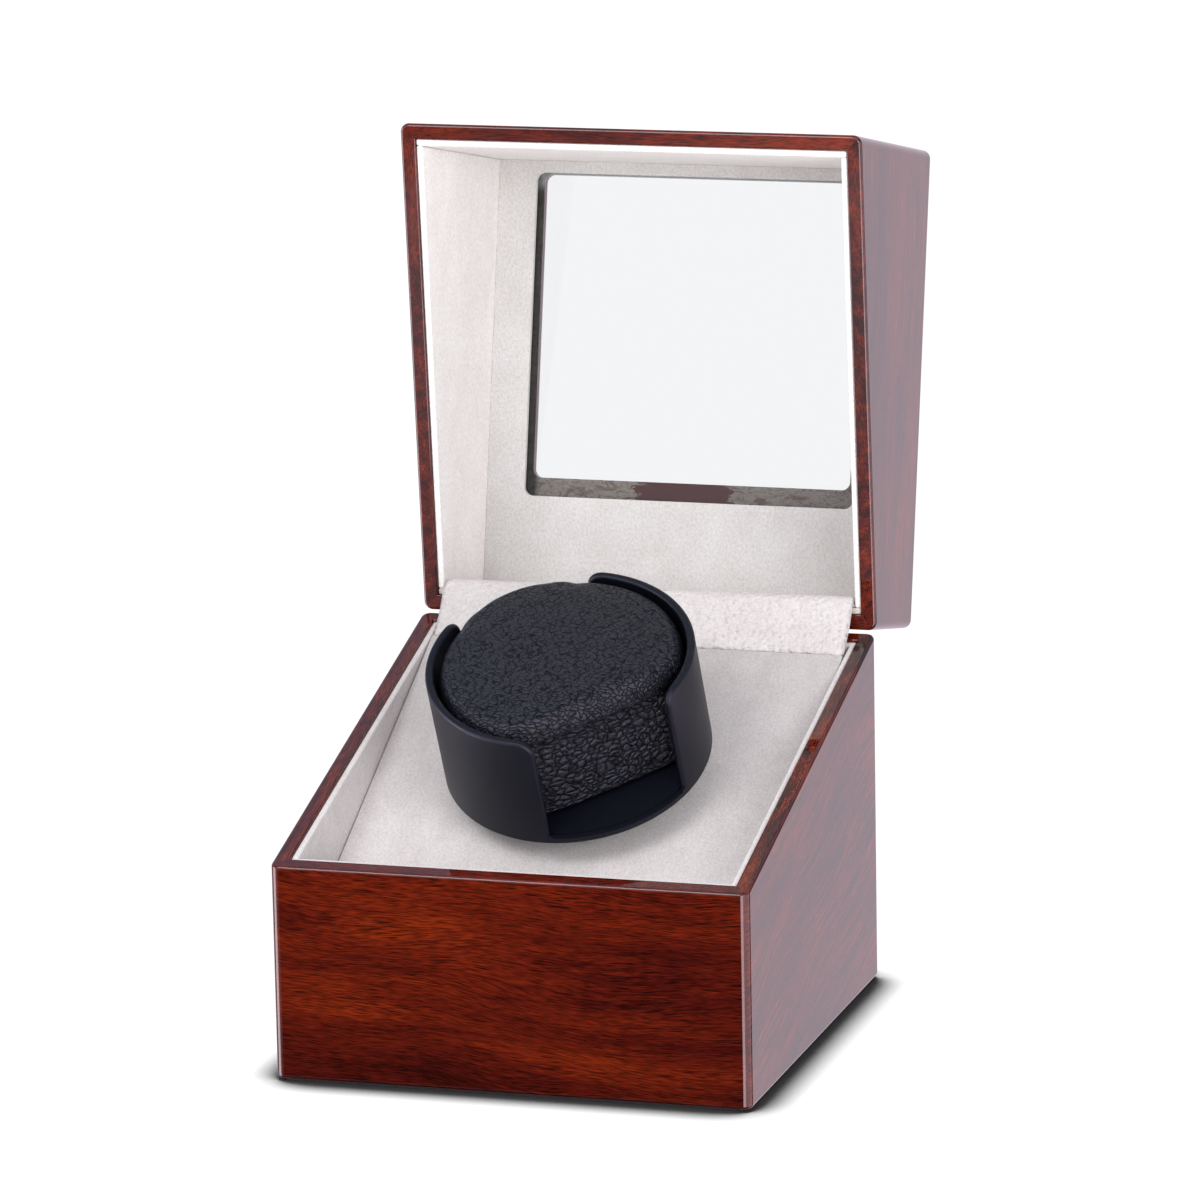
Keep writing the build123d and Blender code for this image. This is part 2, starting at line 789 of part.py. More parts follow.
def drive():
    """Everything between the platform and the motor. Heights are counted from the platform's top."""
    under = -cover_thickness - platform_thickness
    bracket_top = under - bracket_drop
    bracket_low = bracket_top - bracket_thickness
    bore = spindle_radius + running_fit
    barrel = bore + bush_wall
    centre_distance = gear_module * (gear_teeth + pinion_teeth) / 2

    upper = rod(bush_flange_radius, under - bush_flange, under) + rod(barrel, under, -cover_thickness / 2)
    parts["platform_bush"] = cup_plane * (upper - rod(bore, under - 2 * bush_flange, 1))
    barrel_low = bracket_top - lower_barrel
    lower = rod(bush_flange_radius, bracket_top, bracket_top + lower_flange)
    lower = lower + rod(barrel, barrel_low, bracket_top)
    lower = lower - rod(bore, barrel_low - overcut, bracket_top + 2 * lower_flange)
    parts["bracket_bush"] = cup_plane * lower

    groove_top = barrel_low - side_fit
    groove_low = groove_top - clip_thickness - 2 * press_gap
    neck = spindle_radius - clip_groove
    spindle = rod(spindle_radius, -spindle_end, cup_clearance)
    core = rod(neck, groove_low - overcut, groove_top + overcut)
    spindle = spindle - (rod(2 * spindle_radius, groove_low, groove_top) - core)
    spindle = spindle - cup_screw(press_gap)
    parts["spindle"] = cup_plane * spindle
    ring = rod(clip_radius, groove_low + press_gap, groove_top - press_gap)
    ring = ring - rod(neck + press_gap, groove_low - overcut, groove_top + overcut)
    mouth = clip_mouth / 2
    gap = block((-mouth, 0, groove_low - overcut), (mouth, 2 * clip_radius, groove_top + overcut))
    parts["spindle_clip"] = cup_plane * (ring - gap)
    parts["cup_screw"] = cup_plane * cup_screw()

    gear_top = under - gear_drop
    gear_low = gear_top - gear_width
    gear = Pos(0, 0, gear_low) * extrude(gear_outline(gear_teeth, gear_addendum, 90), gear_width)
    gear = gear + rod(gear_hub_radius, bracket_top + lower_flange + side_fit, gear_low)
    parts["driven_gear"] = cup_plane * (gear - rod(spindle_radius + press_gap, bracket_low, 0))

    plan = RectangleRounded(bracket_width, bracket_back + bracket_front, bracket_corner)
    bracket = Pos(0, (bracket_back - bracket_front) / 2, bracket_low) * extrude(plan, bracket_thickness)
    holes = [(0, 0, barrel + press_gap), (0, centre_distance, motor_boss_radius)]
    holes += [(x, centre_distance, small_screw_hole) for x in (-motor_screw_x, motor_screw_x)]
    holes += [(x, u, small_screw_hole) for x, u in pillar_points()]
    for x, u, radius in holes:
        bracket = bracket - rod(radius, bracket_low - overcut, bracket_top + overcut, x, u)
    pillars, screws = [], []
    for x, u in pillar_points():
        shank_top = bracket_low + small_screw_length
        pillar = rod(pillar_radius, bracket_top, under, x, u)
        pillar = pillar - rod(small_screw_hole, bracket_top - overcut, shank_top + overcut, x, u)
        pillars.append(cup_plane * pillar)
        screw = rod(small_screw_radius, bracket_low, shank_top, x, u)
        screw = screw + rod(small_screw_head, bracket_low - small_head_height, bracket_low, x, u)
        screws.append(cup_plane * screw)
    parts["drive_bracket"] = cup_plane * bracket
    parts["bracket_pillars"] = pillars
    parts["bracket_screws"] = screws

    motor = rod(motor_radius, bracket_low - motor_length, bracket_low, 0, centre_distance)
    motor = fillet(motor.edges().group_by(Axis.Z)[0], motor_edge_radius)
    shaft_low = bracket_low - shaft_depth
    motor_top = bracket_low + overcut
    motor = motor - rod(shaft_radius + shaft_fit, shaft_low - overcut, motor_top, 0, centre_distance)
    hole_low = bracket_top - small_screw_length
    head_top = bracket_top + small_head_height
    motor_screws = []
    for x in (-motor_screw_x, motor_screw_x):
        motor = motor - rod(small_screw_hole, hole_low - overcut, bracket_low + overcut, x, centre_distance)
        screw = rod(small_screw_radius, hole_low, bracket_top, x, centre_distance)
        screw = screw + rod(small_screw_head, bracket_top, head_top, x, centre_distance)
        motor_screws.append(cup_plane * screw)
    parts["gear_motor"] = cup_plane * motor
    parts["motor_screws"] = motor_screws

    pinion_top = gear_top + (pinion_width - gear_width) / 2
    pinion_phase = -90 + 180 / pinion_teeth
    teeth = extrude(gear_outline(pinion_teeth, pinion_addendum, pinion_phase), pinion_width)
    pinion = Pos(0, centre_distance, pinion_top - pinion_width) * teeth
    pinion = pinion - rod(shaft_radius + press_gap, bracket_low, 0, 0, centre_distance)
    parts["motor_pinion"] = cup_plane * pinion
    shaft = rod(shaft_radius, shaft_low, pinion_top + side_fit, 0, centre_distance)
    parts["motor_shaft"] = cup_plane * shaft


def standoff_points():
    x = board_width / 2 - standoff_inset
    y = board_depth / 2 - standoff_inset
    return [(a * x, board_y + b * y) for a in (-1, 1) for b in (-1, 1)]


def on_board(x, width, depth, low, high):
    """A box that is centred on the board's middle line, at x."""
    return Pos(x, board_y, (low + high) / 2) * Box(width, depth, high - low)


def control_board():
    low = floor_z + standoff_height
    high = low + board_thickness
    board = on_board(0, board_width, board_depth, low, high)
    board = board + on_board(0, chip_width, chip_depth, high, high + chip_height)
    board = board + on_board(-part_offset, connector_width, connector_depth, high, high + connector_height)
    board = board + rod(capacitor_radius, high, high + capacitor_height, part_offset, board_y)
    standoffs, screws = [], []
    for x, y in standoff_points():
        board = board - rod(small_screw_hole, low - overcut, high + overcut, x, y)
        standoff = rod(standoff_radius, floor_z, low, x, y)
        standoffs.append(standoff - rod(small_screw_hole, floor_z - overcut, low + overcut, x, y))
        screw = rod(small_screw_radius, floor_z - board_screw_bite, high, x, y)
        screws.append(screw + rod(small_screw_head, high, high + small_head_height, x, y))
    parts["control_board"] = board
    parts["board_standoffs"] = standoffs
    parts["board_screws"] = screws


def plate_screw_points():
    x = plate_width / 2 - plate_screw_inset
    return [(-x, plate_z), (x, plate_z)]


def back_controls():
    """The plate on the back wall with the rocker switch, the selector and the power inlet."""
    face = half_depth + plate_thickness
    plate = extrude(RectangleRounded(plate_width, plate_height, plate_corner), plate_thickness)
    plate = Pos(0, face, plate_z) * Rot(90, 0, 0) * plate
    body_x = switch_width / 2 - switch_lip
    body_z = switch_height / 2 - switch_lip
    plate = plate - block(
        (switch_x - body_x - press_gap, half_depth - overcut, plate_z - body_z - press_gap),
        (switch_x + body_x + press_gap, face + overcut, plate_z + body_z + press_gap),
    )
    plate = plate - back_rod(selector_neck + press_gap, half_depth - overcut, face + overcut, knob_x, plate_z)
    plate = plate - back_rod(jack_neck + press_gap, half_depth - overcut, face + overcut, jack_x, plate_z)
    screws = []
    for x, z in plate_screw_points():
        plate = plate - back_rod(small_screw_hole, half_depth - overcut, face + overcut, x, z)
        screw = back_rod(small_screw_radius, face - small_screw_length, face, x, z)
        screws.append(screw + back_rod(small_screw_head, face, face + small_head_height, x, z))
    parts["control_plate"] = plate
    parts["control_plate_screws"] = screws

    rim = face + switch_bezel
    back_block = Pos(switch_x, 0, plate_z)
    bezel_x, bezel_z = switch_width / 2, switch_height / 2
    housing = back_block * block((-bezel_x, face, -bezel_z), (bezel_x, rim, bezel_z))
    housing = housing + back_block * block((-body_x, face - switch_depth, -body_z), (body_x, face, body_z))
    pocket_x = body_x - switch_lip
    pocket_z = body_z - switch_lip
    pocket_floor = face - switch_depth + 2 * switch_lip
    pocket = block((-pocket_x, pocket_floor, -pocket_z), (pocket_x, rim + overcut, pocket_z))
    housing = housing - back_block * pocket
    pivot_y = face - rocker_pivot_depth
    pin_reach = body_z - rocker_fit
    pivot = Pos(switch_x, pivot_y, plate_z)
    housing = housing - pivot * Cylinder(rocker_pin_radius + running_fit, 2 * pin_reach + rocker_fit)
    parts["rocker_housing"] = housing

    reach = pocket_x - rocker_fit - rocker_end_gap
    crest = rim - pivot_y + rocker_proud
    tips = crest + reach * tan(radians(rocker_angle))
    foot = rocker_foot / 2
    outline = [
        (-foot, -rocker_depth),
        (foot, -rocker_depth),
        (reach, 0),
        (reach, tips),
        (0, crest),
        (-reach, tips),
        (-reach, 0),
    ]
    rocker = extrude(Polygon(*outline, align=None), pocket_z - rocker_fit, both=True)
    rocker = pivot * (rocker + Cylinder(rocker_pin_radius, 2 * pin_reach))
    parts["power_rocker"] = rocker.rotate(Axis((switch_x, pivot_y, plate_z), (0, 0, 1)), -rocker_angle)

    half_size = selector_size / 2
    selector = block(
        (knob_x - half_size, half_depth - selector_depth, plate_z - half_size),
        (knob_x + half_size, half_depth, plate_z + half_size),
    )
    selector = selector + back_rod(selector_neck, half_depth, face, knob_x, plate_z)
    shaft_end = face - knob_shaft_length
    shaft_hole = knob_shaft_radius + running_fit
    selector = selector - back_rod(shaft_hole, shaft_end - overcut, face + overcut, knob_x, plate_z)
    parts["selector_body"] = selector
    knob_front = face + knob_gap
    knob = rod(knob_radius, 0, knob_length)
    knob = fillet(knob.edges().group_by(Axis.Z)[-1], knob_edge_radius)
    for index in range(knob_flutes):
        turn = radians(360 / knob_flutes * index)
        x, y = knob_radius * cos(turn), knob_radius * sin(turn)
        knob = knob - rod(knob_flute_radius, knob_edge_radius, 2 * knob_length, x, y)
    ridge = knob_ridge_width / 2
    ridge_low, ridge_high = 0.9 * knob_length, knob_length + ridge
    knob = knob + block((-ridge, knob_shaft_radius, ridge_low), (ridge, knob_ridge_end, ridge_high))
    knob = knob + rod(knob_shaft_radius, -knob_gap - knob_shaft_length, 0)
    parts["selector_knob"] = Pos(knob_x, knob_front, plate_z) * Rot(-90, 0, 0) * Rot(0, 0, 180) * knob

    half_size = jack_body / 2
    jack = block(
        (jack_x - half_size, half_depth - jack_body_depth, plate_z - half_size),
        (jack_x + half_size, half_depth, plate_z + half_size),
    )
    end = face + jack_proud
    jack = jack + back_rod(jack_neck, half_depth, end, jack_x, plate_z)
    jack = jack - back_rod(jack_bore, end - jack_bore_depth, end + overcut, jack_x, plate_z)
    jack = jack + back_rod(jack_pin, end - jack_bore_depth, end - jack_pin_setback, jack_x, plate_z)
    parts["power_inlet"] = jack
    nut = extrude(RegularPolygon(nut_width / 2, 6, major_radius=False), nut_thickness)
    nut = Pos(jack_x, face + nut_thickness, plate_z) * Rot(90, 0, 0) * nut
    nut_end = face + nut_thickness
    thread = back_rod(jack_neck + press_gap, face - overcut, nut_end + overcut, jack_x, plate_z)
    parts["inlet_nut"] = nut - thread


base_walls()
corner_blocks()
base_linings()
platform()
hinge_cover()
hinges()
lid()
cup()
cushion()
drive()
control_board()
back_controls()

os.makedirs("parts", exist_ok=True)
for name, shape in parts.items():
    solids = shape if isinstance(shape, list) else [shape]
    flat = [s for item in solids for s in item.solids()]
    export_step(flat[0] if len(flat) == 1 else Compound(children=flat), f"parts/{name}.step")
print(len(parts), "nodes")
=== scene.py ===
from math import cos, pi, radians, sin, sqrt

import bmesh
import bpy
from mathutils import Matrix, Vector, noise


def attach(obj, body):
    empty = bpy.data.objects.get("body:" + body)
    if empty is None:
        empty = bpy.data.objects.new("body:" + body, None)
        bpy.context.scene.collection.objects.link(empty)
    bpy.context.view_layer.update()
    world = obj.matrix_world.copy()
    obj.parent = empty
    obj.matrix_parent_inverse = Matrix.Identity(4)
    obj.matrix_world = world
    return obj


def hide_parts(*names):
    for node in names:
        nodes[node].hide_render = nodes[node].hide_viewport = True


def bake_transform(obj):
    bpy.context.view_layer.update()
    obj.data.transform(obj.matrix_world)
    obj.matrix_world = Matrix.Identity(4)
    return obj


# Watch winder with its lid open: lacquered mahogany box, cream velvet, black cup and cushion.
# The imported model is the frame, in metres: X to the right, Y to the back, Z up.
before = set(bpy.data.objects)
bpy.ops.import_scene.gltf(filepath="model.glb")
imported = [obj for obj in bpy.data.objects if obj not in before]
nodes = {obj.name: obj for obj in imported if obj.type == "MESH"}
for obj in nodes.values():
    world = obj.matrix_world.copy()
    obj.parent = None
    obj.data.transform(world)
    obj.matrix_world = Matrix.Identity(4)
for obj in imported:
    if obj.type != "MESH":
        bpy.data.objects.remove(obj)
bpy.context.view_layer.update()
mm = 0.001
print("frame loaded,", len(nodes), "nodes")

# Directions that the pieces share
openAngle = 101.8  # how far the lid stands open, as in the photograph
lidUp = Vector((0, sin(radians(openAngle)), cos(radians(openAngle))))  # closed lid's up, now to the back
lidBack = Vector((0, cos(radians(openAngle)), -sin(radians(openAngle))))  # closed lid's back, now downwards
rimSlope = 16.3  # degrees, the box's rim rises to the back
rimAlong = Vector((0, cos(radians(rimSlope)), sin(radians(rimSlope))))
platformSlope = 27.0
cupNormal = Vector((0, -sin(radians(platformSlope)), cos(radians(platformSlope))))
cupBack = Vector((0, cos(radians(platformSlope)), sin(radians(platformSlope))))
sideways = Vector((1, 0, 0))
worldAxes = (sideways, Vector((0, 1, 0)), Vector((0, 0, 1)))


# Node helpers
def toLinear(hexColour):
    channels = [int(hexColour[i : i + 2], 16) / 255 for i in (1, 3, 5)]
    return [c / 12.92 if c <= 0.04045 else ((c + 0.055) / 1.055) ** 2.4 for c in channels] + [1.0]


def addNode(tree, kind, inputs=None, ramp=None, **settings):
    # inputs: socket name or number, to a value or to another node's output; ramp: (place, hex colour) stops
    node = tree.nodes.new("ShaderNode" + kind)
    for name, value in settings.items():
        setattr(node, name, value)
    for socket, value in (inputs or {}).items():
        if isinstance(value, bpy.types.NodeSocket):
            tree.links.new(value, node.inputs[socket])
        else:
            node.inputs[socket].default_value = value
    if ramp:
        stops = node.color_ramp.elements
        while len(stops) < len(ramp):
            stops.new(0.5)
        for stop, (place, colour) in zip(stops, ramp):
            stop.position = place
            stop.color = toLinear(colour)
    return node


def newMaterial(name):
    material = bpy.data.materials.new(name)
    material.use_nodes = True
    material.node_tree.nodes.clear()
    return material, material.node_tree


def finishMaterial(tree, shader):
    addNode(tree, "OutputMaterial", {"Surface": shader.outputs[0]})


def objectPlace(tree, along, across, through, shift=(0.0, 0.0, 0.0)):
    # a place on the object in millimetres: along, across and through the material
    place = addNode(tree, "TexCoord").outputs["Object"]
    parts = []
    for axis in (along, across, through):
        dot = addNode(tree, "VectorMath", {0: place, 1: Vector(axis) / mm}, operation="DOT_PRODUCT")
        parts.append(dot.outputs["Value"])
    joined = addNode(tree, "CombineXYZ", dict(zip("XYZ", parts)))
    moved = addNode(tree, "VectorMath", {0: joined.outputs[0], 1: shift}, operation="ADD")
    return moved.outputs[0]


def stretched(tree, place, sizes):
    # one unit of the result is a cell of these sizes in millimetres
    scaled = addNode(tree, "VectorMath", {0: place, 1: [1 / s for s in sizes]}, operation="MULTIPLY")
    return scaled.outputs[0]


def noiseValue(tree, place, sizes, detail=2.0, roughness=0.5, distortion=0.0):
    cells = stretched(tree, place, sizes)
    made = addNode(
        tree,
        "TexNoise",
        {"Vector": cells, "Scale": 1.0, "Detail": detail, "Roughness": roughness, "Distortion": distortion},
    )
    return made.outputs["Fac"]


def mixColours(tree, share, first, second, blend="MIX"):
    # share 0 gives first, 1 gives second
    inputs = {0: share, 6: first, 7: second}
    return addNode(tree, "Mix", inputs, data_type="RGBA", blend_type=blend).outputs[2]


def greyOf(tree, value):
    return addNode(tree, "CombineColor", {"Red": value, "Green": value, "Blue": value}).outputs[0]


def mapped(tree, value, low, high, toLow=0.0, toHigh=1.0):
    inputs = {"Value": value, "From Min": low, "From Max": high, "To Min": toLow, "To Max": toHigh}
    return addNode(tree, "MapRange", inputs).outputs["Result"]


def bumped(tree, height, depth, strength=1.0, normal=None):
    # depth is the real height difference in metres that a height of 1 stands for
    inputs = {"Height": height, "Distance": depth, "Strength": strength}
    if normal is not None:
        inputs["Normal"] = normal
    return addNode(tree, "Bump", inputs).outputs["Normal"]


def dress(material, name):
    slots = nodes[name].data.materials
    slots.clear()
    slots.append(material)


# Mahogany veneer under thick polished lacquer: deep red-brown with dark bands, short dark pores and a
# mirror-smooth coat, so the edges carry crisp highlights and grazing sides go pale
mahogany = {
    "colours": [  # from the dark bands to the bright ones
        (0.24, "#2a0704"),
        (0.40, "#3f0c07"),
        (0.56, "#551608"),
        (0.76, "#6c2109"),
    ],
    "pore": "#170302",
    # length along the grain, width and depth of each pattern, mm
    "band": (95.0, 19.0, 60.0),
    "streak": (38.0, 1.3, 4.0),
    "poreSize": (8.0, 0.34, 0.38),
    "poreCrowd": (22.0, 5.0, 20.0),
    "speckSize": (4.4, 0.32, 0.36),
    "waveSize": (95.0, 34.0, 60.0),
    "wave": 4.0,  # mm that the grain wanders sideways
    "poreDark": 0.7,  # how much of its own colour a pore shows
    "speckShade": (0.55, 1.50),
    "coatRoughness": 0.02,
}

# Inside the window the panel's wood is bare: streaky grey-brown with a reddish rubbed patch at the hinge
# side, near black at its left, and painted light at the lid's front: pale where the ring lies in shade under
# the front lining
bareEdge = {
    "front": -286.7,  # mm along lidBack, the window's front edge
    "paintedLightReach": (3.0, 6.0),  # mm behind it, where the painted light thins out and ends
    "left": -56.0,  # mm, the window's left edge
    "leftDark": 0.85,
    "mottle": (5.0, 2.4, 5.0),  # mm
    "patch": (-19.0, 14.0),  # mm, its left and right ends
    "soft": 0.8,  # mm over which its ends blend
    "patchColour": "#5c2c28",
    "darkSide": "#2b2c2b",
    # painted light: pale over the ring's shade under the front lining
    "paintedLight": "#e3e4e5",
    "ragged": 34.0,  # mm that the patch's ends wander over the whole range of the mottle
    "streaks": [
        (0.32, "#574a42"),
        (0.42, "#8f867d"),
        (0.50, "#b3aba2"),
        (0.58, "#83796f"),
        (0.68, "#7a5c52"),
    ],
}


def bareWindowEdge(tree, lacquered, below):
    made = bareEdge
    place = objectPlace(tree, sideways, lidBack, lidUp)
    parts = addNode(tree, "SeparateXYZ", {"Vector": place})
    mottle = noiseValue(tree, place, made["mottle"], 5.0, 0.75, 0.8)
    bare = addNode(tree, "ValToRGB", {"Fac": mottle}, ramp=made["streaks"]).outputs["Color"]
    inputs = {0: mottle, 1: made["ragged"], 2: parts.outputs["X"]}
    ragged = addNode(tree, "Math", inputs, operation="MULTIPLY_ADD").outputs[0]
    low, high = (edge + made["ragged"] / 2 for edge in made["patch"])
    soft = made["soft"]
    start = mapped(tree, ragged, low - soft, low + soft)
    end = mapped(tree, ragged, high - soft, high + soft, 1.0, 0.0)
    patch = addNode(tree, "Math", {0: start, 1: end}, operation="MULTIPLY").outputs[0]
    bare = mixColours(tree, patch, bare, toLinear(made["patchColour"]))
    left = made["left"]
    leftSide = mapped(tree, parts.outputs["X"], left - 0.5, left + 1.5, made["leftDark"], 0.0)
    bare = mixColours(tree, leftSide, bare, toLinear(made["darkSide"]))
    # painted light: the ring is painted pale at the lid's front, where it lies in shade
    thin, ended = (made["front"] + distance for distance in made["paintedLightReach"])
    paintedLightShare = mapped(tree, parts.outputs["Y"], thin, ended, 1.0, 0.0)
    bare = mixColours(tree, paintedLightShare, bare, toLinear(made["paintedLight"]))
    covered = mapped(tree, parts.outputs["Z"], below - 0.1, below + 0.1)
    return mixColours(tree, covered, bare, lacquered), covered


def lacqueredMahogany(name, along, across, shift, bright=0.0, contrast=1.2, streaky=0.30, rawBelow=None):
    # shift in mm gives each panel its own cut of veneer; the wood is bare under rawBelow, mm along lidUp
    material, tree = newMaterial(name)
    through = Vector(along).cross(Vector(across))
    place = objectPlace(tree, along, across, through, shift)
    wander = noiseValue(tree, place, mahogany["waveSize"], 1.0)
    sway = mapped(tree, wander, 0.3, 0.7, -mahogany["wave"], mahogany["wave"])
    aside = addNode(tree, "CombineXYZ", {"Y": sway})
    grain = addNode(tree, "VectorMath", {0: place, 1: aside.outputs[0]}, operation="ADD").outputs[0]
    figure = noiseValue(tree, grain, mahogany["band"], 2.5, 0.55)
    streak = noiseValue(tree, grain, mahogany["streak"], 2.0, 0.6)
    both = addNode(tree, "Mix", {0: streaky, 2: figure, 3: streak}).outputs[0]
    darkest, lightest = bright + (1 - contrast) / 2, bright + (1 + contrast) / 2
    shifted = mapped(tree, both, 0.0, 1.0, darkest, lightest)
    veneer = addNode(tree, "ValToRGB", {"Fac": shifted}, ramp=mahogany["colours"]).outputs["Color"]
    fleck = noiseValue(tree, grain, mahogany["poreSize"], 1.0, 0.5)
    crowd = noiseValue(tree, grain, mahogany["poreCrowd"], 1.0)
    edge = mapped(tree, crowd, 0.35, 0.65, 0.60, 0.52)  # the pores lie closer together in some bands
    inside = addNode(tree, "Math", {0: fleck, 1: edge}, operation="SUBTRACT").outputs[0]
    pore = mapped(tree, inside, 0.0, 0.10, 0.0, mahogany["poreDark"])
    colour = mixColours(tree, pore, veneer, toLinear(mahogany["pore"]))
    fibre = noiseValue(tree, grain, mahogany["speckSize"], 1.0)
    speck = mapped(tree, fibre, 0.33, 0.67, *mahogany["speckShade"])
    colour = mixColours(tree, 1.0, colour, greyOf(tree, speck), "MULTIPLY")
    coat = 1.0
    if rawBelow is not None:
        colour, coat = bareWindowEdge(tree, colour, rawBelow)
    shader = addNode(
        tree,
        "BsdfPrincipled",
        {
            "Base Color": colour,
            "Roughness": 0.5,
            "Specular IOR Level": 0.0,
            "Coat Weight": coat,
            "Coat Roughness": mahogany["coatRoughness"],
            "Coat IOR": 1.5,
        },
    )
    finishMaterial(tree, shader)
    return material


topFace = min(v.co.dot(lidUp) for v in nodes["lid_top_panel"].data.vertices) / mm
edgeDepth = 2.5  # mm above the lid top's inner face, where the lacquer starts
frontTilt = radians(4)  # the front's veneer runs a little down to the right
frontAlong = Vector((cos(frontTilt), 0, -sin(frontTilt)))
frontAcross = Vector((sin(frontTilt), 0, cos(frontTilt)))
slopeAcross = Vector((0, -rimAlong.z, rimAlong.y))
rightGrain = {"contrast": 2.3, "streaky": 0.62}
lidRightGrain = {"contrast": 2.1, "streaky": 0.62}
leftGrain = {"contrast": 1.9, "streaky": 0.6}
lidFrontGrain = {"bright": 0.10}
bareGrain = {"rawBelow": topFace + edgeDepth}
panels = [  # node, material, along the grain, across it, shift of the pattern, other settings
    ("base_front_panel", "MahoganyFront", frontAlong, frontAcross, (40.0, 9.0, 0.0), {}),
    ("base_back_panel", "MahoganyBack", sideways, (0, 0, 1), (310.0, 90.0, 0.0), {}),
    ("base_right_panel", "MahoganyRight", rimAlong, slopeAcross, (120.0, 50.0, 0.0), rightGrain),
    ("base_left_panel", "MahoganyLeft", rimAlong, slopeAcross, (520.0, 150.0, 40.0), leftGrain),
    ("lid_right_panel", "MahoganyLidRight", lidBack, lidUp, (33.0, 210.0, 0.0), lidRightGrain),
    ("lid_left_panel", "MahoganyLidLeft", lidBack, lidUp, (700.0, 95.0, 50.0), leftGrain),
    ("lid_front_panel", "MahoganyLidFront", sideways, lidUp, (210.0, 60.0, 10.0), lidFrontGrain),
    ("lid_back_panel", "MahoganyLidBack", sideways, lidUp, (90.0, 310.0, 90.0), {}),
    ("lid_top_panel", "MahoganyLidTop", sideways, lidBack, (400.0, 30.0, 70.0), bareGrain),
]
for node, material, along, across, shift, settings in panels:
    dress(lacqueredMahogany(material, along, across, shift, **settings), node)
print("lacquered wood done")


# Brushed cotton velvet glued over thin boards: short upright nap that goes pale at grazing angles and is
# mottled where it has been stroked
velvet = {
    "mottle": (17.0, 11.0, 17.0),  # mm
    "tuft": 0.8,  # mm, coarser than real tufts so that they show
    "tuftDepth": 0.14 * mm,
    "pebbleDepth": 0.6 * mm,
    "tuftShade": (0.84, 1.04),  # between the tufts, on the tufts
}


def creamVelvet(name, light, dark, tuft=velvet["tuft"], pebble=0.0, lean=(1, 0, 0), paintedShade=None):
    # lean: the way the nap lies; pebble: size in mm of an embossed grain; paintedShade: painted shade along
    # a direction, its start and end in mm, and the share of its brightness that the velvet keeps at the end
    material, tree = newMaterial(name)
    side = Vector((0, 0, 1)) if abs(lean[2]) < 0.5 else sideways
    across = Vector(lean).cross(side).normalized()
    place = objectPlace(tree, lean, across, Vector(lean).cross(across))
    mottle = noiseValue(tree, place, velvet["mottle"], 3.0, 0.6, 0.5)
    nap = noiseValue(tree, place, (tuft * 1.3, tuft, tuft), 2.0, 0.7)
    colour = mixColours(tree, mapped(tree, mottle, 0.36, 0.64), toLinear(light), toLinear(dark))
    shade = mapped(tree, nap, 0.30, 0.62, *velvet["tuftShade"])
    if paintedShade:  # painted shade, darker towards the hinge
        along, start, end, darkest = paintedShade
        reach = objectPlace(tree, along, (0, 0, 0), (0, 0, 0))
        reach = addNode(tree, "SeparateXYZ", {"Vector": reach}).outputs["X"]
        darker = mapped(tree, reach, start, end, 1.0, darkest)
        shade = addNode(tree, "Math", {0: shade, 1: darker}, operation="MULTIPLY").outputs[0]
    colour = mixColours(tree, 1.0, colour, greyOf(tree, shade), "MULTIPLY")
    normal = bumped(tree, nap, velvet["tuftDepth"])
    if pebble:
        cells = stretched(tree, place, (pebble, pebble, pebble))
        grain = addNode(tree, "TexVoronoi", {"Vector": cells, "Scale": 1.0}, feature="SMOOTH_F1")
        dome = mapped(tree, grain.outputs["Distance"], 0.1, 0.75, 1.0, 0.0)
        normal = bumped(tree, dome, velvet["pebbleDepth"], 1.0, normal)
    shader = addNode(
        tree,
        "BsdfPrincipled",
        {
            "Base Color": colour,
            "Roughness": 0.95,
            "Specular IOR Level": 0.1,
            "Sheen Weight": 0.2,
            "Sheen Roughness": 0.5,
            "Sheen Tint": toLinear("#fbf8f8"),
            "Normal": normal,
        },
    )
    finishMaterial(tree, shader)
    return material


# At the lid's front the window lining's opening is drawn down to the window's own edge
frontRing = {
    "halfWidth": 66 * mm,
    "outer": -296 * mm,  # the opening's front edge lies between these along lidBack
    "inner": -285 * mm,
    "edge": -287.2 * mm,
}


def closeFrontRing(shape):
    made = frontRing
    opening = []
    for vertex in shape.verts:
        inWindow = abs(vertex.co.x) < made["halfWidth"]
        if inWindow and made["outer"] < vertex.co.dot(lidBack) < made["inner"]:
            opening.append(vertex)
    for vertex in opening:  # each moves by the gap that is still open at that moment
        vertex.co += lidBack * (made["edge"] - min(v.co.dot(lidBack) for v in opening))


boardEdge = {
    "merge": 0.002 * mm,
    "flat": radians(2),  # faces that meet under this angle become one
    "sharp": radians(35),  # edges over this angle are rolled
    "roll": 0.7 * mm,
    "platformRoll": 0.45 * mm,
    "windowRoll": 0.5 * mm,
    "segments": 4,
}


def velvetBoard(name, node, material, body, roll=boardEdge["roll"], wider=None):
    # a thin board wrapped in velvet: the solid's shape with padded, rolled edges
    made = boardEdge
    mesh = nodes[node].data.copy()
    piece = bpy.data.objects.new(name, mesh)
    bpy.context.scene.collection.objects.link(piece)
    shape = bmesh.new()
    shape.from_mesh(mesh)
    if wider:
        wider(shape)
    bmesh.ops.remove_doubles(shape, verts=shape.verts, dist=made["merge"])
    bmesh.ops.dissolve_limit(shape, angle_limit=made["flat"], verts=shape.verts, edges=shape.edges)
    sharp = [e for e in shape.edges if len(e.link_faces) == 2 and e.calc_face_angle(0) > made["sharp"]]
    bmesh.ops.bevel(
        shape,
        geom=sharp,
        offset=roll,
        segments=made["segments"],
        profile=0.5,
        affect="EDGES",
        clamp_overlap=True,
    )
    for face in shape.faces:
        face.smooth = True
    shape.to_mesh(mesh)
    shape.free()
    # broad faces stay flat beside their rolled edges
    flatten = piece.modifiers.new("Flat", "WEIGHTED_NORMAL")
    flatten.keep_sharp = False
    mesh.materials.clear()
    mesh.materials.append(material)
    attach(piece, body)
    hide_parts(node)
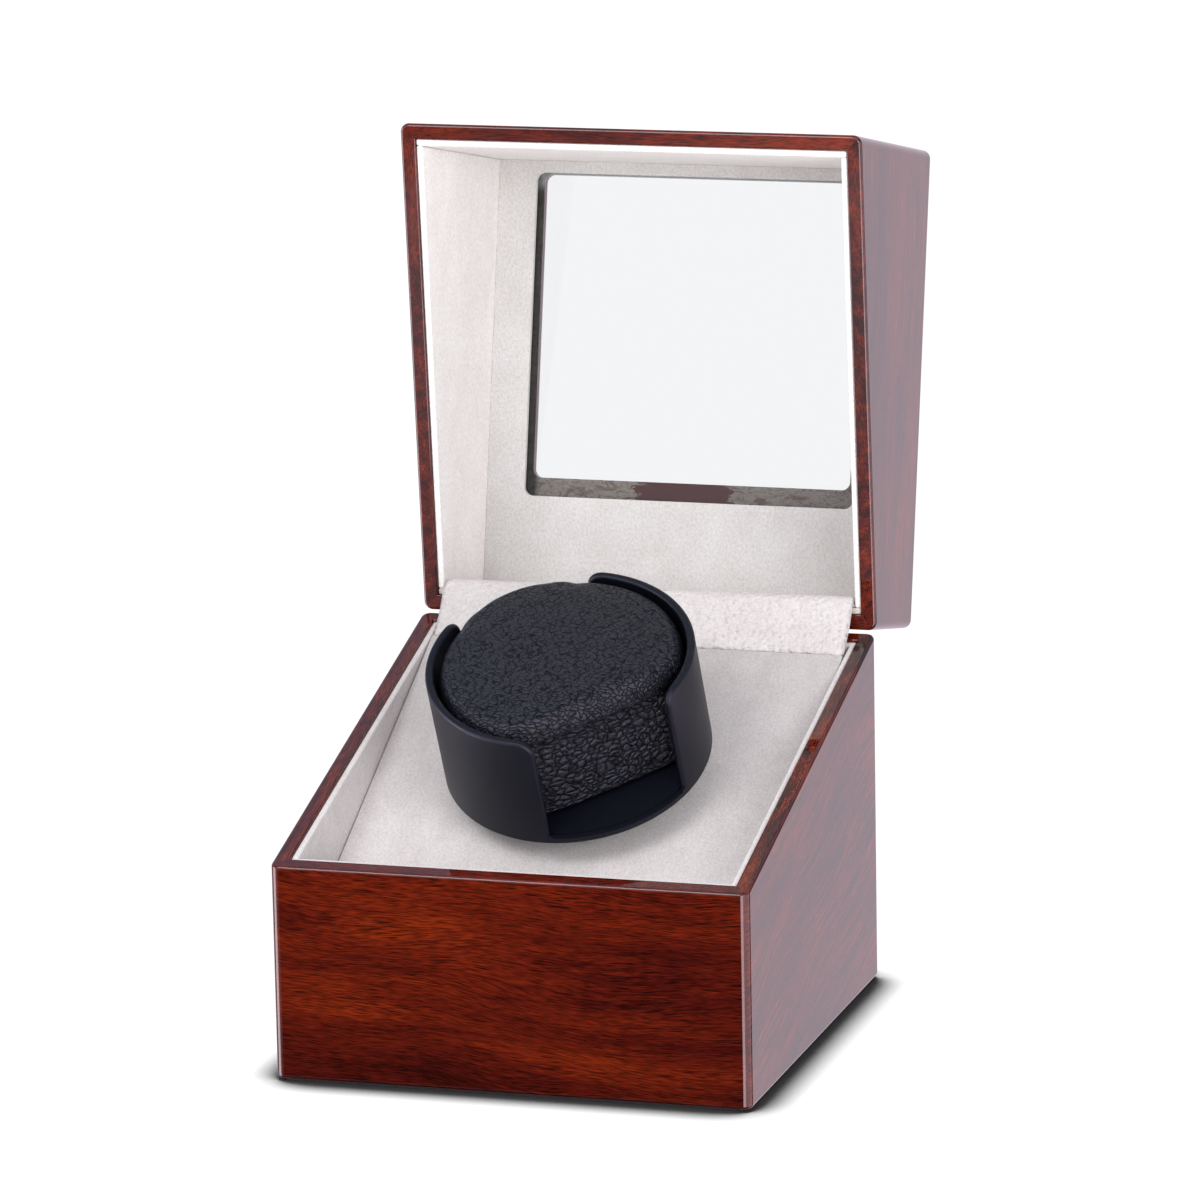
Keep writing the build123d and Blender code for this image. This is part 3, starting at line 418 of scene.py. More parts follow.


# painted shade: the platform's velvet darkens towards its back, the window lining's towards the hinge
platformPaintedShade = (cupBack, 0.0, 110.0, 0.72)
windowPaintedShade = (lidBack, -200.0, -170.0, 0.88)
upSlope, toHinge = tuple(cupBack), tuple(lidBack)
# painted light and shade: one cream velvet in lighter and darker copies, the lid's linings lightest and the
# hinge side darkest
warmVelvet = creamVelvet("CreamVelvetBase", "#e0dbda", "#d9d3d2", lean=upSlope)
coverVelvet = creamVelvet("CreamVelvetPlatform", "#e3dedd", "#dbd5d4", lean=upSlope, paintedShade=platformPaintedShade)
lidVelvet = creamVelvet("CreamVelvetLid", "#fbf7f6", "#f6f1ef", lean=toHinge)
hingeSideVelvet = creamVelvet("CreamVelvetHingeSide", "#dcd4d0", "#d4cbc7")
windowVelvet = creamVelvet("CreamVelvetWindow", "#dfdddc", "#d8d5d3", lean=toHinge, paintedShade=windowPaintedShade)
pebbledVelvet = creamVelvet("CreamVelvetPebbled", "#dcd7d6", "#d5cfce", tuft=0.6, pebble=1.6)
for side in ("front", "left", "right", "back"):
    velvetBoard("BaseLining_" + side, "base_lining_" + side, warmVelvet, "base")
    lining = hingeSideVelvet if side == "back" else lidVelvet
    velvetBoard("LidLining_" + side, "lid_lining_" + side, lining, "lid")
windowRoll, platformRoll = boardEdge["windowRoll"], boardEdge["platformRoll"]
velvetBoard("LidLining_window", "lid_lining_top", windowVelvet, "lid", windowRoll, closeFrontRing)
velvetBoard("PlatformCover", "platform_cover", coverVelvet, "base", platformRoll)
print("velvet boards done")


# Mesh helpers for the soft pieces
def meshPiece(name, points, faces, material):
    mesh = bpy.data.meshes.new(name)
    mesh.from_pydata(points, [], faces)
    mesh.materials.append(material)
    piece = bpy.data.objects.new(name, mesh)
    bpy.context.scene.collection.objects.link(piece)
    shape = bmesh.new()
    shape.from_mesh(mesh)
    bmesh.ops.recalc_face_normals(shape, faces=shape.faces)
    for face in shape.faces:
        face.smooth = True
    shape.to_mesh(mesh)
    shape.free()
    return piece


def ringFaces(count, rows):
    # quads between closed rings of count points each
    faces = []
    for row in range(rows - 1):
        for i in range(count):
            j = (i + 1) % count
            faces.append((row * count + i, row * count + j, (row + 1) * count + j, (row + 1) * count + i))
    return faces


def puff(piece, settings):
    # a short cloth simulation with air pressure; the seams are pinned, and no point moves far
    mesh = piece.data
    rest = [v.co.copy() for v in mesh.vertices]
    pins = piece.vertex_groups.new(name="Pins")
    pins.add([i for i, p in enumerate(rest) if settings["pinned"](p)], 1.0, "REPLACE")
    cloth = piece.modifiers.new("Cloth", "CLOTH")
    made = cloth.settings
    made.quality = settings["quality"]
    made.mass = settings["mass"]
    made.tension_stiffness = made.compression_stiffness = made.shear_stiffness = settings["stiffness"]
    made.bending_stiffness = settings["bending"]
    made.use_pressure = True
    made.uniform_pressure_force = settings["pressure"]
    made.effector_weights.gravity = 0.0
    made.vertex_group_mass = "Pins"
    cloth.point_cache.frame_start = 1
    cloth.point_cache.frame_end = settings["frames"]
    for step in range(1, settings["frames"] + 1):
        bpy.context.scene.frame_set(step)
    evaluated = piece.evaluated_get(bpy.context.evaluated_depsgraph_get())
    moved = [v.co.copy() for v in evaluated.data.vertices]
    piece.modifiers.remove(cloth)
    for vertex, start, end in zip(mesh.vertices, rest, moved):
        step = end - start
        if step.length > settings["cap"]:
            step *= settings["cap"] / step.length
        vertex.co = start + step
    bpy.context.scene.frame_set(1)


# Hinge cover: a padded strip of pebbled velvet that bulges over the platform's back edge and the hinge
# and lies against the lid's back lining
hingeCover = {
    "halfWidth": 72.3 * mm,
    "thickness": 2.2 * mm,
    "line": [  # Y and Z in mm of its control points, from the platform up to the lid
        (67.9, 114.4),
        (73.8, 119.3),
        (78.2, 124.7),
        (80.2, 128.2),
        (83.2, 130.4),
        (88.2, 129.2),
        (97.2, 127.1),
    ],
    "corner": 6.0 * mm,
    "lip": 1.4 * mm,  # over which its border rounds off
    "columns": 60,
    "rows": 34,
    "swell": 0.35 * mm,
    "foldLength": 0.045,  # metres between two soft folds
    "foldStep": 0.12,  # how fast the folds change from row to row
    "merge": 0.01 * mm,
    "blendStart": (0, 77 * mm, 123.5 * mm),
    "blendEnd": (0, 86 * mm, 130.5 * mm),
    "fill": 0.7,
}
splineSteps = 20


def smoothLine(points, count):
    # evenly spaced points on a quadratic spline that has these as its control points
    fine = []
    middles = [((a[0] + b[0]) / 2, (a[1] + b[1]) / 2) for a, b in zip(points[1:-2], points[2:-1])]
    stops = [points[0]] + middles + [points[-1]]
    for start, control, end in zip(stops[:-1], points[1:-1], stops[1:]):
        for i in range(splineSteps):
            t = i / splineSteps
            weights = ((1 - t) ** 2, 2 * t * (1 - t), t * t)
            fine.append(Vector(sum(w * p[k] for w, p in zip(weights, (start, control, end))) for k in (0, 1)))
    fine.append(Vector(points[-1]))
    lengths = [0.0]
    for a, b in zip(fine[:-1], fine[1:]):
        lengths.append(lengths[-1] + (b - a).length)
    even = []
    for i in range(count):
        want = lengths[-1] * i / (count - 1)
        k = max(1, next(k for k, length in enumerate(lengths) if length >= want - 1e-9 and k))
        share = (want - lengths[k - 1]) / (lengths[k] - lengths[k - 1])
        even.append(fine[k - 1].lerp(fine[k], share))
    return even, lengths[-1]


def buildHingeCover():
    made = hingeCover
    line, length = smoothLine([(y * mm, z * mm) for y, z in made["line"]], made["rows"])
    normals = []
    for i in range(len(line)):
        a, b = line[max(i - 1, 0)], line[min(i + 1, len(line) - 1)]
        t = (b - a).normalized()
        normals.append(Vector((-t.y, t.x)))
    points = []
    columns, rows = made["columns"], made["rows"]
    for face in (1, -1):
        for r in range(rows):
            fromEnd = length * (rows - 1 - r) / (rows - 1)
            reach = made["halfWidth"]
            if fromEnd < made["corner"]:  # the two far corners are cut round
                drop = made["corner"] - fromEnd
                reach -= made["corner"] - sqrt(max(made["corner"] ** 2 - drop**2, 0.0))
            for c in range(columns + 1):
                s = -1 + 2 * c / columns
                x = reach * sin(s * pi / 2) * 0.35 + reach * s * 0.65  # closer columns at both ends
                edgeX = min(1.0, (reach - abs(x)) / made["lip"])
                edgeV = min(1.0, min(fromEnd, length - fromEnd) / made["lip"])
                rounding = sqrt(max(0.0, 1 - (1 - edgeX) ** 2)) * sqrt(max(0.0, 1 - (1 - edgeV) ** 2))
                spot = Vector((x / made["foldLength"], r * made["foldStep"], 3.0 * face))
                fold = noise.noise(spot) * made["swell"]
                half = face * (made["thickness"] / 2 * rounding + fold * rounding)
                p, n = line[r], normals[r]
                points.append((x, p.x + n.x * half, p.y + n.y * half))
    faces = []
    width = columns + 1
    size = width * rows
    for side in (0, size):
        for r in range(rows - 1):
            for c in range(columns):
                a = side + r * width + c
                faces.append((a, a + 1, a + width + 1, a + width))
    border = [c for c in range(width)]
    border += [r * width + columns for r in range(1, rows)]
    border += [(rows - 1) * width + c for c in range(columns - 1, -1, -1)]
    border += [r * width for r in range(rows - 2, 0, -1)]
    for i, a in enumerate(border):
        b = border[(i + 1) % len(border)]
        faces.append((a, b, b + size, a + size))
    piece = meshPiece("HingeCover", points, faces, pebbledVelvet)
    shape = bmesh.new()
    shape.from_mesh(piece.data)
    bmesh.ops.remove_doubles(shape, verts=shape.verts, dist=made["merge"])
    bmesh.ops.recalc_face_normals(shape, faces=shape.faces)
    shape.to_mesh(piece.data)
    shape.free()
    return piece


cover = buildHingeCover()
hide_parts("hinge_cover")
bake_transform(cover)
print("hinge cover done")


# Embossed black leatherette, PVC on a knitted back: a wrinkled pebble grain with a low shine on its ridges,
# and painted shade that darkens its creases
leatherette = {
    # the creases' darker colour is painted shade
    "crease": "#020203",
    "ridge": "#14161e",
    "tint": "#eef1ff",
    "creaseGloss": 0.05,
    "pore": 0.35,  # mm
}
capGrain = {
    "pebble": 1.7,  # mm
    "depth": 0.24 * mm,
    "plateau": 0.28,  # how far from a crease, as a share of a pebble, its dome is flat
    "roughness": 0.36,
    "wrinkle": 2.0,  # how far the pebbles are pushed out of shape
    "gloss": 0.46,
}
bandGrain = {
    "pebble": 2.6,
    "depth": 0.85 * mm,
    "plateau": 0.34,
    "roughness": 0.24,
    "wrinkle": 1.6,
    "gloss": 1.0,
}


def blackLeatherette(name, pebble, depth, plateau, roughness, wrinkle, gloss):
    material, tree = newMaterial(name)
    place = objectPlace(tree, sideways, cupBack, cupNormal)
    slow = stretched(tree, place, (pebble * 2.5,) * 3)
    bend = addNode(tree, "TexNoise", {"Vector": slow, "Scale": 1.0, "Detail": 2.0}).outputs["Color"]
    push = addNode(tree, "VectorMath", {0: bend, 1: (0.5, 0.5, 0.5)}, operation="SUBTRACT").outputs[0]
    push = addNode(tree, "VectorMath", {0: push, "Scale": pebble * wrinkle}, operation="SCALE").outputs[0]
    warped = addNode(tree, "VectorMath", {0: place, 1: push}, operation="ADD").outputs[0]
    cells = stretched(tree, warped, (pebble * 1.5, pebble * 0.8, pebble * 0.8))
    pebbles = addNode(tree, "TexVoronoi", {"Vector": cells, "Scale": 1.0}, feature="DISTANCE_TO_EDGE")
    crease = pebbles.outputs["Distance"]
    inputs = {"Value": crease, "From Min": 0.0, "From Max": plateau}
    dome = addNode(tree, "MapRange", inputs, interpolation_type="SMOOTHSTEP").outputs["Result"]
    ridge = mapped(tree, crease, 0.0, 0.15)
    fine = noiseValue(tree, place, (leatherette["pore"],) * 3, 2.0, 0.6)
    height = addNode(tree, "Math", {0: dome, 1: 0.82, 2: fine}, operation="MULTIPLY_ADD").outputs[0]
    # painted shade: the colour darkens into the creases
    colour = mixColours(tree, ridge, toLinear(leatherette["crease"]), toLinear(leatherette["ridge"]))
    shader = addNode(
        tree,
        "BsdfPrincipled",
        {
            "Base Color": colour,
            "Roughness": roughness,
            "Specular IOR Level": mapped(tree, ridge, 0.0, 1.0, leatherette["creaseGloss"], gloss),
            "Specular Tint": toLinear(leatherette["tint"]),
            "Normal": bumped(tree, height, depth),
        },
    )
    finishMaterial(tree, shader)
    return material


capLeather = blackLeatherette("LeatheretteFineGrain", **capGrain)
bandLeather = blackLeatherette("LeatheretteCoarseGrain", **bandGrain)

# Cushion: a crowned cap over a side band, with a drawn-in seam between them. Its plan is a disc cut off at
# the cup's front gap and nearly full at the rear one; both ends bulge a little
cushion = {
    "centre": Vector((0, -0.24, 93.33)) * mm,  # where the cup's underside crosses its axis
    "turn": -51.0,
    "radius": 40.5 * mm,
    "front": {"end": 27.0 * mm, "bulge": 1.2 * mm, "corner": 8.0 * mm},
    "rear": {"end": 38.6 * mm, "bulge": 2.9 * mm, "corner": 2.0 * mm},
    "rearSwell": 2.2 * mm,  # into the cup's rear gap
    "swellHalf": 21.5 * mm,
    "foot": 3.7 * mm,
    "seam": 33.4 * mm,
    "crown": 44.1 * mm,
    "drop": 1.2 * mm,
    "roll": 4.2 * mm,
    "fill": 0.9,
    "around": 160,
    "topRows": 15,
    "rollRows": 8,
    "bandRows": 14,
    "belly": 0.45 * mm,  # how far the band draws in at its top and foot
    "underside": (0.8, 0.5, 0.2),  # rows towards the middle, as shares of the outline
}


def cushionReach(angle):
    # distance from the middle to the plan's outline, the corner rounded by a smooth minimum
    radius = cushion["radius"]
    made = cushion["front" if cos(angle) > 0 else "rear"]
    across = abs(cos(angle))
    if across < 1e-3:
        return radius
    half = sqrt(radius**2 - made["end"] ** 2)
    y = made["end"] * abs(sin(angle)) / across
    flat = (made["end"] + made["bulge"] * max(0.0, 1 - (y / half) ** 2)) / across
    h = max(made["corner"] - abs(flat - radius), 0.0) / made["corner"]
    reach = min(flat, radius) - h * h * made["corner"] / 4
    if cos(angle) < 0:
        beside = abs(reach * sin(angle)) / cushion["swellHalf"]
        reach += cushion["rearSwell"] * max(0.0, 1 - beside**2) ** 0.7
    return reach


def cushionPoint(angle, reach, height):
    turned = angle + radians(cushion["turn"])
    flat = sideways * (reach * cos(turned)) + cupBack * (reach * sin(turned))
    return cushion["centre"] + flat + cupNormal * height


def cushionMesh(name, profile, material):
    # profile: rows of (how far in from the outline, share of what is left, height) from the top's middle
    # outwards and down to the underside
    count, rows = cushion["around"], len(profile)
    points = []
    for inset, share, height in profile:
        for i in range(count):
            angle = 2 * pi * i / count
            points.append(cushionPoint(angle, (cushionReach(angle) - inset) * share, height))
    faces = ringFaces(count, rows)
    points.append(cushionPoint(0, 0, profile[0][2]))
    points.append(cushionPoint(0, 0, profile[-1][2]))
    last = (rows - 1) * count
    for i in range(count):
        j = (i + 1) % count
        faces.append((len(points) - 2, j, i))
        faces.append((len(points) - 1, last + i, last + j))
    return meshPiece(name, points, faces, material)


def capProfile():
    made = cushion
    rows = []
    inner = 1 - made["roll"] / made["radius"]
    for i in range(1, made["topRows"]):  # the crowned top, by share of the outline
        share = i / made["topRows"]
        rows.append((0.0, share * inner, made["crown"] - made["drop"] * (share * inner) ** 2))
    edgeHeight = made["crown"] - made["drop"] * inner**2
    low = made["seam"] + 2.2 * mm
    for i in range(made["rollRows"] + 1):  # the rolled edge, a quarter turn
        t = pi / 2 * i / made["rollRows"]
        height = low + (edgeHeight - low) * cos(t)
        rows.append((made["roll"] * (1 - sin(t)), 1.0, height))
    # down into the seam, then across the underside
    rows.append((0.25 * mm, 1.0, made["seam"] + 1.1 * mm))
    rows.append((0.9 * mm, 1.0, made["seam"] + 0.35 * mm))
    for share in (1.0, *made["underside"]):
        rows.append((1.9 * mm, share, made["seam"] + 0.05 * mm))
    return rows


def bandProfile():
    made = cushion
    top, foot = made["seam"] - 0.3 * mm, made["foot"]
    rows = [(2.2 * mm, share, top) for share in (*reversed(made["underside"]), 1.0)]
    rows += [(1.3 * mm, 1.0, top - 0.25 * mm), (0.75 * mm, 1.0, top - 1.0 * mm)]
    for i in range(made["bandRows"] + 1):
        t = i / made["bandRows"]
        drawnIn = made["belly"] * (2 * t - 1) ** 2
        rows.append((drawnIn + 0.15 * mm, 1.0, top - 1.8 * mm - (top - foot - 3.4 * mm) * t))
    rows.append((1.2 * mm, 1.0, foot + 0.6 * mm))
    rows += [(2.4 * mm, share, foot) for share in (1.0, *made["underside"])]
    return rows


def cushionHeight(point):
    return (point - cushion["centre"]).dot(cupNormal)


capPiece = cushionMesh("CushionCap", capProfile(), capLeather)
bandPiece = cushionMesh("CushionBand", bandProfile(), bandLeather)
capPuff = {
    "pinned": lambda p: cushionHeight(p) < cushion["seam"] + 0.4 * mm,
    "quality": 6,
    "mass": 0.02,
    "stiffness": 12.0,
    "bending": 0.5,
    "pressure": 2.0,
    "frames": 12,
    "cap": 0.5 * mm,
}
puff(capPiece, capPuff)
for piece, node in ((capPiece, "cushion_cap"), (bandPiece, "cushion_band")):
    detail = piece.modifiers.new("Smooth", "SUBSURF")
    detail.levels = detail.render_levels = 1
    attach(piece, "cushion")
    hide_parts(node)
print("cushion done")


# Moulded ABS with a fine satin spark finish: near black with a cool, broad sheen
satin = {
    "spark": 0.12,  # mm
    "sparkDepth": 0.01 * mm,
    "cloud": 35.0,  # mm, how slowly the sheen changes
    "gloss": 0.30,
    "tint": "#e4e9ff",
}


def satinAbs(name, colour, roughness):
    material, tree = newMaterial(name)
    place = objectPlace(tree, *worldAxes)
    spark = noiseValue(tree, place, (satin["spark"],) * 3, 1.0)
    cloud = noiseValue(tree, place, (satin["cloud"],) * 3, 2.0)
    shader = addNode(
        tree,
        "BsdfPrincipled",
        {
            "Base Color": toLinear(colour),
            "Roughness": mapped(tree, cloud, 0.3, 0.7, roughness - 0.03, roughness + 0.04),
            "Specular IOR Level": satin["gloss"],
            "Specular Tint": toLinear(satin["tint"]),
            "Normal": bumped(tree, spark, satin["sparkDepth"], 0.4),
        },
    )
    finishMaterial(tree, shader)
    return material


cupAbs = satinAbs("AbsCupSatin", "#080a12", 0.46)
controlAbs = satinAbs("AbsControlSatin", "#111214", 0.42)


# Clear float glass, faintly grey, with polished faces
glass = {"colour": "#ebeced", "smear": (45.0, 70.0, 40.0), "roughness": (0.0, 0.02), "ior": 1.5}


def floatGlass():
    material, tree = newMaterial("FloatGlass")
    place = objectPlace(tree, sideways, lidBack, lidUp)
    smear = noiseValue(tree, place, glass["smear"], 2.0)
    shader = addNode(
        tree,
        "BsdfPrincipled",
        {
            "Base Color": toLinear(glass["colour"]),
            "Roughness": mapped(tree, smear, 0.4, 0.7, *glass["roughness"]),
            "IOR": glass["ior"],
            "Transmission Weight": 1.0,
        },
    )
    finishMaterial(tree, shader)
    return material


# Sawn and sanded softwood, unfinished: pale, matt, with straight grain
timber = {
    "light": "#b98f62",
    "dark": "#9a7147",
    "grain": (70.0, 2.2, 2.2),  # mm
    "fibre": (6.0, 0.3, 0.3),
    "fibreDepth": 0.05 * mm,
    "roughness": 0.78,
}


def plainTimber():
    made = timber
    material, tree = newMaterial("BareTimber")
    place = objectPlace(tree, *worldAxes)
    grain = noiseValue(tree, place, made["grain"], 3.0, 0.6)
    fibre = noiseValue(tree, place, made["fibre"], 1.0)
    share = mapped(tree, grain, 0.35, 0.65)
    inputs = {
        "Base Color": mixColours(tree, share, toLinear(made["light"]), toLinear(made["dark"])),
        "Roughness": made["roughness"],
        "Normal": bumped(tree, fibre, made["fibreDepth"], 0.6),
    }
    finishMaterial(tree, addNode(tree, "BsdfPrincipled", inputs))
    return material


# Needled wool felt: matt black, short loose fibres
felt = {"dark": "#101113", "light": "#26272a", "fibre": 0.5, "depth": 0.25 * mm, "sheen": 0.3}


def pressedFelt():
    made = felt
    material, tree = newMaterial("WoolFelt")
    place = objectPlace(tree, *worldAxes)
    fibre = noiseValue(tree, place, (made["fibre"],) * 3, 4.0, 0.7, 0.8)
    inputs = {
        "Base Color": mixColours(tree, fibre, toLinear(made["dark"]), toLinear(made["light"])),
        "Roughness": 1.0,
        "Sheen Weight": made["sheen"],
        "Normal": bumped(tree, fibre, made["depth"]),
    }
    finishMaterial(tree, addNode(tree, "BsdfPrincipled", inputs))
    return material


# Rolled brass and zinc-plated steel, brushed along their length; screw heads are tumbled instead
metal = {"brush": (14.0, 0.12, 0.12), "tumble": (0.5, 0.5, 0.5), "depth": 0.01 * mm}


def brushedMetal(name, colour, roughness, marks=metal["brush"]):
    material, tree = newMaterial(name)
    place = objectPlace(tree, sideways, cupBack, cupNormal)
    line = noiseValue(tree, place, marks, 2.0, 0.6)
    shader = addNode(
        tree,
        "BsdfPrincipled",
        {
            "Base Color": toLinear(colour),
            "Metallic": 1.0,
            "Roughness": mapped(tree, line, 0.3, 0.7, roughness - 0.06, roughness + 0.08),
            "Normal": bumped(tree, line, metal["depth"], 0.5),
        },
    )
    finishMaterial(tree, shader)
    return material


# Injection-moulded natural acetal: milky white, a little translucent
acetal = {"colour": "#e6e3da", "shade": "#9a9a94", "cloud": 9.0, "roughness": 0.38, "translucent": 0.05}


def naturalAcetal():
    made = acetal
    material, tree = newMaterial("AcetalNatural")
    place = objectPlace(tree, *worldAxes)
    cloud = noiseValue(tree, place, (made["cloud"],) * 3, 2.0)
    share = mapped(tree, cloud, 0.3, 0.7, 0.0, 0.25)
    inputs = {
        "Base Color": mixColours(tree, share, toLinear(made["colour"]), toLinear(made["shade"])),
        "Roughness": made["roughness"],
        "Subsurface Weight": made["translucent"],
    }
    finishMaterial(tree, addNode(tree, "BsdfPrincipled", inputs))
    return material


# Glass-epoxy board under green solder mask, with copper tracks showing through; the parts on it are dark
circuit = {
    "mask": "#0d4a2a",
    "track": "#2c7a45",
    "parts": "#1a1b1d",
    "cell": (3.2, 1.6, 10.0),  # mm
    "gap": 0.12,
    "top": 12.8,  # mm, the height over the table where the parts on it start
    "trackDepth": 0.03 * mm,
    "roughness": 0.35,
}


def circuitBoard():
    made = circuit
    material, tree = newMaterial("SolderMaskBoard")
    place = objectPlace(tree, *worldAxes)
    cells = stretched(tree, place, made["cell"])
    bricks = addNode(tree, "TexBrick", {"Vector": cells, "Scale": 1.0, "Mortar Size": made["gap"]})
    track = bricks.outputs["Fac"]
    mask = mixColours(tree, track, toLinear(made["mask"]), toLinear(made["track"]))
    height = addNode(tree, "SeparateXYZ", {"Vector": place}).outputs["Z"]
    above = mapped(tree, height, made["top"] - 0.05, made["top"] + 0.05)
    inputs = {
        "Base Color": mixColours(tree, above, mask, toLinear(made["parts"])),
        "Roughness": made["roughness"],
        "Normal": bumped(tree, track, made["trackDepth"]),
    }
    finishMaterial(tree, addNode(tree, "BsdfPrincipled", inputs))
    return material


bySlot = {
    "plain_wood": plainTimber(),
    "felt": pressedFelt(),
    "glass": floatGlass(),
    "black_plastic": controlAbs,
    "leatherette": capLeather,
    "velvet": warmVelvet,
    "brass": brushedMetal("BrassRolled", "#c9a45c", 0.26),
    "steel": brushedMetal("SteelZincPlated", "#b9bcc0", 0.30),
    "screws": brushedMetal("SteelScrew", "#a9abae", 0.28, metal["tumble"]),
    "gear_plastic": naturalAcetal(),
    "circuit_board": circuitBoard(),
}
for name, piece in nodes.items():
    slotName = piece.data.materials[0].name.split(".")[0] if piece.data.materials else ""
    if slotName in bySlot:
        dress(bySlot[slotName], name)
dress(cupAbs, "cup")
print("materials on every node")


# Stage: a pale floor that is blown out to white, with a painted contact shadow beside the box, soft studio
# light, and the camera of the photograph
stage = {
    "worldDiffuse": 0.86,
    "worldTint": "#fbfaff",
    "boxSize": (1.0, 0.8),  # metres, both softboxes
    "key": {"place": (-0.5, -1.6, 1.5), "target": (0, 0, 0.1), "power": 16.0, "glossy": True},
    "fill": {"place": (1.2, -1.5, 0.55), "target": (0, 0, 0.15), "power": 18.0, "glossy": False},
    "peak": 8.0,  # strength of a white stop in what the polished faces reflect
    "around": [  # by degrees from straight ahead of the front panel, the right side positive
        (-180, "#625e64"),
        (-150, "#504e54"),
        (-92, "#4a464a"),
        (-88, "#fdeef2"),
        (-58, "#fdeef2"),
        (-52, "#6b5f65"),
        (-28, "#3a3437"),
        (-22, "#0c0c0c"),
        (8, "#0c0c0c"),
        (13, "#f8e6ea"),
        (37, "#f8e6ea"),
        (43, "#9c8e95"),
        (128, "#8b7c84"),
        (139, "#0c0c0c"),
        (153, "#0c0c0c"),
        (158, "#625e64"),
        (180, "#625e64"),
    ],
    "ceiling": "#444850",
    "front": "#6f6c70",
    # Z of the direction: where each part of the studio starts and where it is full
    "ceilingFrom": (0.12, 0.34),
    "upperFront": (-0.12, 0.12),
    "lowerFront": (-0.292, -0.308),
    "ground": (-0.8, -0.5),
    # the studio's front fades towards the ground, and to the sides by Y of the direction
    "deepFront": (-0.39, -0.31, 0.25, 0.95),
    "facing": (-0.3, -0.7),
}
paper = {
    "half": 30.0,  # metres, so that its edge is never seen
    "paintedShadowReach": 0.018,  # metres, how far the painted contact shadow beside the box reaches
    "samples": 16,
    "dark": 0.58,  # how open to the sky the paper is where it is black
    "clear": 0.88,  # and where it is white
    "white": 1.08,  # a little over white, so that the floor is blown out
    "ownLight": 0.94,
    "colour": (0.9, 0.9, 0.9, 1),
}


def buildFloor():
    half = paper["half"]
    corners = [(-half, -half, 0), (half, -half, 0), (half, half, 0), (-half, half, 0)]
    mesh = bpy.data.meshes.new("StudioFloor")
    mesh.from_pydata(corners, [], [(0, 1, 2, 3)])
    floor = bpy.data.objects.new("StudioFloor", mesh)
    bpy.context.scene.collection.objects.link(floor)
    material, tree = newMaterial("PaperSweep")
    # painted shadow: the floor's glow dims where ambient occlusion finds the box close by
    inputs = {"Distance": paper["paintedShadowReach"]}
    near = addNode(tree, "AmbientOcclusion", inputs, samples=paper["samples"]).outputs["AO"]
    lit = mapped(tree, near, paper["dark"], paper["clear"], 0.0, paper["white"])
    glow = addNode(tree, "Emission", {"Color": (1, 1, 1, 1), "Strength": lit})
    sheet = addNode(tree, "BsdfDiffuse", {"Color": paper["colour"]})
    inputs = {0: paper["ownLight"], 1: sheet.outputs[0], 2: glow.outputs[0]}
    finishMaterial(tree, addNode(tree, "MixShader", inputs))
    mesh.materials.append(material)
    floor.visible_glossy = False


